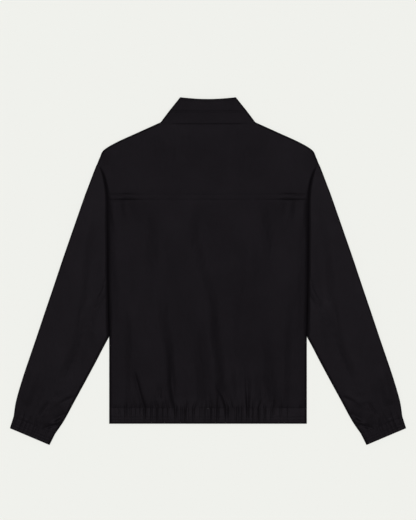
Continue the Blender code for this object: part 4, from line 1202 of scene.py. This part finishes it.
class NodeTree:
    """A Geometry Nodes tree under construction, with named inputs for its sizes."""

    def __init__(self, name, sizes):
        self.tree = bpy.data.node_groups.new(name, "GeometryNodeTree")
        self.identifiers = {}
        self.socket("Path", "INPUT", "NodeSocketGeometry")
        for size in sizes:
            self.socket(size, "INPUT", "NodeSocketFloat")
        self.socket("Material", "INPUT", "NodeSocketMaterial")
        self.socket("Repeats", "OUTPUT", "NodeSocketGeometry")
        self.given = self.tree.nodes.new("NodeGroupInput").outputs

    def socket(self, name, in_out, kind):
        made = self.tree.interface.new_socket(name, in_out=in_out, socket_type=kind)
        self.identifiers[name] = made.identifier

    def node(self, kind, settings, inputs):
        """A node with its settings, which are set first, and its sockets' values or links."""
        made = self.tree.nodes.new(kind)
        for key, value in settings.items():
            setattr(made, key, value)
        for key, value in inputs.items():
            if isinstance(value, bpy.types.NodeSocket):
                self.tree.links.new(value, made.inputs[key])
            else:
                made.inputs[key].default_value = value
        return made.outputs

    def finish(self, points, shape, turned):
        """One instance on each point, made real and given its material."""
        instances = self.node(
            "GeometryNodeInstanceOnPoints", {}, {"Points": points, "Instance": shape, "Rotation": turned}
        )
        real = self.node("GeometryNodeRealizeInstances", {}, {"Geometry": instances["Instances"]})
        painted = self.node(
            "GeometryNodeSetMaterial", {}, {"Geometry": real["Geometry"], "Material": self.given["Material"]}
        )
        self.node("NodeGroupOutput", {}, {"Repeats": painted["Geometry"]})


def points_along(nodes):
    """Points a pitch apart along the path, each with the turn that takes Z along it."""
    curve = nodes.node("GeometryNodeMeshToCurve", {}, {"Mesh": nodes.given["Path"]})
    spacing = {"Curve": curve["Curve"], "Length": nodes.given["Pitch"]}
    even = nodes.node("GeometryNodeResampleCurve", {"mode": "LENGTH"}, spacing)
    return nodes.node("GeometryNodeCurveToPoints", {"mode": "EVALUATED"}, {"Curve": even["Curve"]})


def scaled(nodes, shape, sizes):
    """A shape stretched to the given sizes along X, Y and Z."""
    stretch = nodes.node("ShaderNodeCombineXYZ", {}, dict(zip("XYZ", sizes)))
    resized = nodes.node("GeometryNodeTransform", {}, {"Geometry": shape, "Scale": stretch["Vector"]})
    return resized["Geometry"]


def stitch_nodes():
    """A spindle of thread for each stitch of a seam, laid end to end along a path."""
    nodes = NodeTree("stitches", ("Pitch", "Stitch length", "Thread"))
    points = points_along(nodes)
    bead = nodes.node("GeometryNodeMeshUVSphere", {}, {"Segments": 6, "Rings": 4, "Radius": 0.5})["Mesh"]
    thread, length = nodes.given["Thread"], nodes.given["Stitch length"]
    nodes.finish(points["Points"], scaled(nodes, bead, (thread, thread, length)), points["Rotation"])
    return nodes


def tooth_nodes():
    """A rounded tooth for each place of one side of a zip."""
    nodes = NodeTree("zip_teeth", ("Pitch", "Tooth across", "Tooth height", "Tooth along"))
    points = points_along(nodes)
    counts = {"Vertices X": 3, "Vertices Y": 3, "Vertices Z": 3}
    block = nodes.node("GeometryNodeMeshCube", {}, {"Size": (1, 1, 1), **counts})
    place = nodes.node("GeometryNodeInputPosition", {}, {})["Position"]
    length = nodes.node("ShaderNodeVectorMath", {"operation": "LENGTH"}, {0: place})["Value"]
    corner_pull = {0: length, 1: -0.42, 2: 1.24}
    shrink = nodes.node("ShaderNodeMath", {"operation": "MULTIPLY_ADD"}, corner_pull)["Value"]
    moved = nodes.node("ShaderNodeVectorMath", {"operation": "SCALE"}, {0: place, "Scale": shrink})["Vector"]
    tooth = nodes.node("GeometryNodeSetPosition", {}, {"Geometry": block["Mesh"], "Position": moved})
    sizes = [nodes.given["Tooth " + way] for way in ("height", "across", "along")]
    nodes.finish(points["Points"], scaled(nodes, tooth["Geometry"], sizes), points["Rotation"])
    return nodes


def repeated(name, nodes, paths, sizes, finish):
    """Repeats along paths given in millimetres, as one plain mesh that rides with the cloth."""
    guide = bpy.data.meshes.new(name)
    vertices, edges = [], []
    for path in paths:
        start = len(vertices)
        vertices += (np.asarray(path) * MM).tolist()
        edges += [(k, k + 1) for k in range(start, len(vertices) - 1)]
    guide.from_pydata(vertices, edges, [])
    maker = placed(name, guide)
    modifier = maker.modifiers.new("repeats", "NODES")
    modifier.node_group = nodes.tree
    for size, value in sizes.items():
        modifier[nodes.identifiers[size]] = value * MM
    modifier[nodes.identifiers["Material"]] = finish
    evaluated = maker.evaluated_get(bpy.context.evaluated_depsgraph_get())
    mesh = bpy.data.meshes.new_from_object(evaluated)
    bpy.data.objects.remove(maker)
    mesh.name = name
    mesh.shade_smooth()
    piece = placed(name, mesh)
    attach(piece, "root")
    return piece


def yoke_stitch_paths():
    y = YOKE_Y + YOKE_STITCH_UP
    half = float(BODY_EDGE.x_at(y)) - 2.5
    x = steps(-half, half, STITCH_PATH_STEP)
    y = 0 * x + y
    return [surface(x, y, with_back_edges(x, y, back_height(x, y)) + STITCH_LIFT)]


def hem_stitch_paths():
    """Two rows round the hem band: over its back, and under both of its fronts."""
    paths = []
    for up in BAND_STITCHES_UP:
        x = steps(3.0 - HEM_HALF, HEM_HALF - 3.0, STITCH_PATH_STEP)
        y = 0 * x + HEM_Y + up
        paths.append(surface(x, y, hem_back_height(x, y) + STITCH_LIFT))
        x = steps(FRONT_EDGE_X + 2, HEM_HALF - 4.0, STITCH_PATH_STEP)
        y = 0 * x + HEM_Y + up
        under = surface(x, y, hem_front_height(x, y) - STITCH_LIFT)
        paths += [under, under * (-1, 1, 1)]
    return paths


def cuff_stitch_paths(side):
    paths = []
    for up in CUFF_STITCHES_UP:
        share = 1 - up / CUFF_LENGTH
        outer, inner = cuff_line(share)
        width = np.linalg.norm(outer - inner)
        place = inner + (outer - inner) * (steps(3.5, width - 3.5, STITCH_PATH_STEP) / width)[:, None]
        x, y = place[:, 0], place[:, 1]
        paths.append(surface(side * x, y, cuff_top(share, x, y) + STITCH_LIFT))
        paths.append(surface(side * x, y, cuff_under(share, x, y) - STITCH_LIFT))
    return paths


def collar_stitch_paths():
    row = collar_row(1 - COLLAR_STITCH_DOWN / COLLAR_HEIGHT)
    middle, reached = len(row) // 2, COLLAR_BACK_COLUMNS - 2
    return [row[middle - reached : middle + reached + 1] + (0, 0, STITCH_LIFT)]


def placket_stitch_paths():
    y = steps(BAND_Y + 2, FRONT_NECK_Y - 4, STITCH_PATH_STEP)
    x = 0 * y + PLACKET_STITCH_X
    right = surface(x, y, front_height(x, y) - STITCH_LIFT)
    return [right, right * (-1, 1, 1)]


def tooth_paths():
    """The teeth of one side lie half a pitch further on than those of the other."""
    paths = []
    for side in (-1, 1):
        y = steps(CHAIN_LOW_Y + TOOTH_PITCH * (1 + side / 2) / 2, CHAIN_HIGH_Y - TOOTH_PITCH / 2, 1.0)
        middle = CHAIN_BOTTOM + CHAIN_THICKNESS / 2
        paths.append(surface(0 * y + side * TOOTH_MIDDLE_X, y, middle + zip_lift(0 * y, y)))
    return paths


# ---------------------------------------------------------------- finishes


class Value:
    """A number socket of a material, on which sums are written as plain expressions."""

    def __init__(self, finish, socket):
        self.finish = finish
        self.socket = socket

    def sum(self, operation, first, second):
        return self.finish.node("Math", {"operation": operation}, {0: first, 1: second})

    def __add__(self, other):
        return self.sum("ADD", self, other)

    def __sub__(self, other):
        return self.sum("SUBTRACT", self, other)

    def __rsub__(self, other):
        return self.sum("SUBTRACT", other, self)

    def __mul__(self, other):
        return self.sum("MULTIPLY", self, other)

    __radd__ = __add__
    __rmul__ = __mul__


class Finish:
    """A material under construction, on Blender's own Principled shader."""

    def __init__(self, name, **constants):
        self.material = bpy.data.materials.new(name)
        self.material.use_nodes = True
        self.tree = self.material.node_tree
        self.shader = self.tree.nodes["Principled BSDF"]
        for key, value in constants.items():
            self.shader.inputs[key.replace("_", " ")].default_value = value

    def node(self, kind, settings, inputs, output=0):
        """A node with its settings, which are set first, and its sockets' values or links."""
        made = self.tree.nodes.new("ShaderNode" + kind)
        for key, value in settings.items():
            setattr(made, key, value)
        for key, value in inputs.items():
            self.feed(made.inputs[key], value)
        return Value(self, made.outputs[output])

    def feed(self, socket, value):
        if isinstance(value, Value):
            self.tree.links.new(value.socket, socket)
        else:
            socket.default_value = value

    def place(self, scale=(1, 1, 1), turn=0.0):
        """Object coordinates, stretched and turned about Z."""
        spot = self.node("TexCoord", {}, {}, "Object")
        return self.node("Mapping", {}, {"Vector": spot, "Scale": scale, "Rotation": (0, 0, turn)})

    def noise(self, place, scale, detail=2.0):
        return self.node("TexNoise", {}, {"Vector": place, "Scale": scale, "Detail": detail}, "Fac")

    def wave(self, value, length):
        """A sine of a place in metres, with waves of that length in metres."""
        return self.node("Math", {"operation": "SINE"}, {0: value * (2 * math.pi / length)})

    def blend(self, share, first, second):
        """A colour between two others. The sockets of a Mix node that mixes colours go by number."""
        return self.node("Mix", {"data_type": "RGBA"}, {0: share, 6: first, 7: second}, 2)

    def weave_place(self):
        """The cloth's own UV map, and its places across and along in metres."""
        spot = self.node("UVMap", {"uv_map": "weave"}, {}, "UV")
        return spot, *(self.node("SeparateXYZ", {}, {"Vector": spot}, axis) for axis in "XY")

    def bump(self, height):
        """Feeds the shader's normal from a height in metres."""
        normal = self.node("Bump", {}, {"Height": height, "Distance": 1.0, "Strength": 1.0}, "Normal")
        self.feed(self.shader.inputs["Normal"], normal)

    def paint(self, colour, roughness):
        self.feed(self.shader.inputs["Base Color"], colour)
        self.feed(self.shader.inputs["Roughness"], roughness)


def cloth_finish(name, dark, light, roughness, thread):
    """Closely woven matt cloth: a fine plain weave, faint slubs, soft rumpling and a little mottling."""
    finish = Finish(name, Specular_IOR_Level=CLOTH_SPECULAR, Specular_Tint=SHEEN_TINT)
    spot, across, along = finish.weave_place()
    weave = finish.wave(across, thread) * finish.wave(along, thread)
    slubs = finish.noise(finish.node("Mapping", {}, {"Vector": spot, "Scale": (900, 45, 1)}), 1.0)
    mottle = finish.noise(finish.place(), 14.0, 3.0)
    rumple = finish.noise(finish.place((34, 13, 34), 0.12), 1.0, 3.0)
    creasing = finish.noise(finish.place((110, 60, 110), -0.3), 1.0, 2.0)
    share = mottle * 0.7 + slubs * 0.25 + weave * 0.12
    finish.paint(finish.blend(share, dark, light), mottle * 0.1 + slubs * 0.05 + (roughness - 0.075))
    crumple = rumple * RUMPLE_HEIGHT + creasing * CREASING_HEIGHT
    finish.bump(crumple + slubs * SLUB_HEIGHT + weave * WEAVE_HEIGHT)
    return finish.material


def tape_finish():
    """Woven zip tape with a herringbone that runs along it."""
    finish = Finish("black_zip_tape", Specular_IOR_Level=0.2)
    _, across, along = finish.weave_place()
    zigzag = finish.node("Math", {"operation": "PINGPONG"}, {0: across, 1: TAPE_ZIGZAG})
    ribs = finish.wave(along + zigzag, TAPE_RIB)
    grain = finish.noise(finish.place(), 900.0)
    finish.paint(finish.blend(ribs * 0.3 + grain * 0.4, TAPE_DARK, TAPE_LIGHT), grain * 0.15 + 0.7)
    finish.bump(ribs * TAPE_RIB_HEIGHT)
    return finish.material


def thread_finish():
    """Twisted polyester sewing thread."""
    finish = Finish("black_thread", Specular_IOR_Level=0.04)
    place = finish.place()
    twist = finish.node("TexWave", {}, {"Vector": place, "Scale": 700.0, "Distortion": 1.5}, "Fac")
    grain = finish.noise(place, 1500.0)
    finish.paint(finish.blend(twist * 0.6 + grain * 0.3, THREAD_DARK, THREAD_LIGHT), grain * 0.2 + 0.4)
    finish.bump(twist * TWIST_HEIGHT)
    return finish.material


def metal_finish():
    """Black painted metal, with a few small spots worn to bare metal."""
    finish = Finish("black_zip_metal", Metallic=1.0)
    place = finish.place()
    wear = finish.node("Math", {"operation": "GREATER_THAN"}, {0: finish.noise(place, 420.0, 4.0), 1: 0.66})
    grain = finish.noise(place, 2600.0)
    finish.paint(finish.blend(wear * 0.5 + grain * 0.15, METAL_BLACK, METAL_BARE), grain * 0.2 + 0.25)
    finish.bump(grain * GRAIN_HEIGHT)
    return finish.material


def tooth_finish():
    """Moulded black zip teeth, with a faint satin grain."""
    finish = Finish("black_zip_teeth", Specular_IOR_Level=0.4)
    grain = finish.noise(finish.place(), 1800.0, 3.0)
    finish.paint(finish.blend(grain, TOOTH_DARK, TOOTH_LIGHT), grain * 0.2 + 0.3)
    finish.bump(grain * GRAIN_HEIGHT)
    return finish.material


# ---------------------------------------------------------------- studio


def make_floor():
    mesh = bpy.data.meshes.new("floor")
    half = FLOOR_SIZE / 2
    level = CAD_BOX[LOW][2] - FLOOR_DROP * MM
    corners = [(-half, -half, level), (half, -half, level), (half, half, level), (-half, half, level)]
    mesh.from_pydata(corners, [], [(0, 1, 2, 3)])
    glow = {"Emission_Color": FLOOR_GLOW, "Emission_Strength": 1.0}
    finish = Finish("pale_floor", Base_Color=FLOOR_COLOUR, Specular_IOR_Level=0.0, Roughness=1.0, **glow)
    mesh.materials.append(finish.material)
    floor = placed("floor", mesh)


def make_light():
    world = bpy.data.worlds.new("studio")
    world.use_nodes = True
    background = world.node_tree.nodes["Background"]
    background.inputs["Color"].default_value = WORLD_COLOUR
    background.inputs["Strength"].default_value = WORLD_STRENGTH
    bpy.context.scene.world = world
    for name, strength, angle, turn in LIGHTS:
        lamp = bpy.data.lights.new(name, "SUN")
        lamp.energy = strength
        lamp.angle = math.radians(angle)
        placed(name, lamp).rotation_euler = [math.radians(value) for value in turn]


def make_camera():
    """Straight above the jacket, far enough away to see it as flat as the photograph does."""
    lens = bpy.data.cameras.new("camera")
    lens.sensor_width = SENSOR
    lens.lens = SENSOR * CAMERA_HEIGHT / VIEW_HEIGHT
    lens.clip_end = 100.0
    camera = placed("camera", lens)
    camera.location = (0.0, VIEW_MIDDLE_Y, CAMERA_HEIGHT)
    bpy.context.scene.camera = camera
    bpy.context.scene.view_settings.view_transform = "Standard"


# ---------------------------------------------------------------- the jacket


def main():
    shell = cloth_finish("black_shell_cloth", SHELL_DARK, SHELL_LIGHT, CLOTH_ROUGHNESS, SHELL_THREAD)
    # The sleeves get a copy of the shell cloth painted lighter: painted light, not a different cloth
    sleeve_cloth_painted_light = cloth_finish("black_sleeve_cloth_painted_light", SLEEVE_PAINTED_LIT_DARK, SLEEVE_PAINTED_LIT_LIGHT, CLOTH_ROUGHNESS, SHELL_THREAD)
    band = cloth_finish("black_band_cloth", BAND_DARK, BAND_LIGHT, CLOTH_ROUGHNESS, BAND_THREAD)
    neckband = cloth_finish("black_collar_cloth", COLLAR_DARK, COLLAR_LIGHT, CLOTH_ROUGHNESS, BAND_THREAD)
    tape, thread, metal, teeth = tape_finish(), thread_finish(), metal_finish(), tooth_finish()
    for node in ("zip_slider", "zip_pull", "zip_box"):
        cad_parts[node].data.materials.clear()
        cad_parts[node].data.materials.append(metal)

    stitches = stitch_nodes()
    sizes = {"Pitch": STITCH_PITCH, "Stitch length": STITCH_LENGTH, "Thread": THREAD}

    def sewn(name, paths):
        return repeated(name, stitches, paths, sizes, thread)

    yoke_stitches = sewn("stitches_yoke", yoke_stitch_paths())
    hem_stitches = sewn("stitches_hem", hem_stitch_paths())
    collar_stitches = sewn("stitches_collar", collar_stitch_paths())
    placket_stitches = sewn("stitches_placket", placket_stitch_paths())
    make_back_body(shell)
    make_back_yoke(shell)
    make_hem_back(band)
    make_collar(neckband)
    sleeve, cuff = sleeve_points(), cuff_points()
    for side in (-1, 1):
        make_front(side, shell)
        make_hem_front(side, band)
        make_sleeve(side, sleeve, sleeve_cloth_painted_light)
        cuff_stitches = sewn(sided("stitches_cuff", side), cuff_stitch_paths(side))
        make_cuff(side, cuff, band)
        make_zip_tape(side, tape)
    tooth_sizes = {
        "Pitch": TOOTH_PITCH, "Tooth across": TOOTH_ACROSS, "Tooth height": CHAIN_THICKNESS,
        "Tooth along": TOOTH_ALONG,
    }
    chain = repeated("zip_teeth", tooth_nodes(), tooth_paths(), tooth_sizes, teeth)
    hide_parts("zip_chain")
    make_floor()
    make_light()
    make_camera()


main()
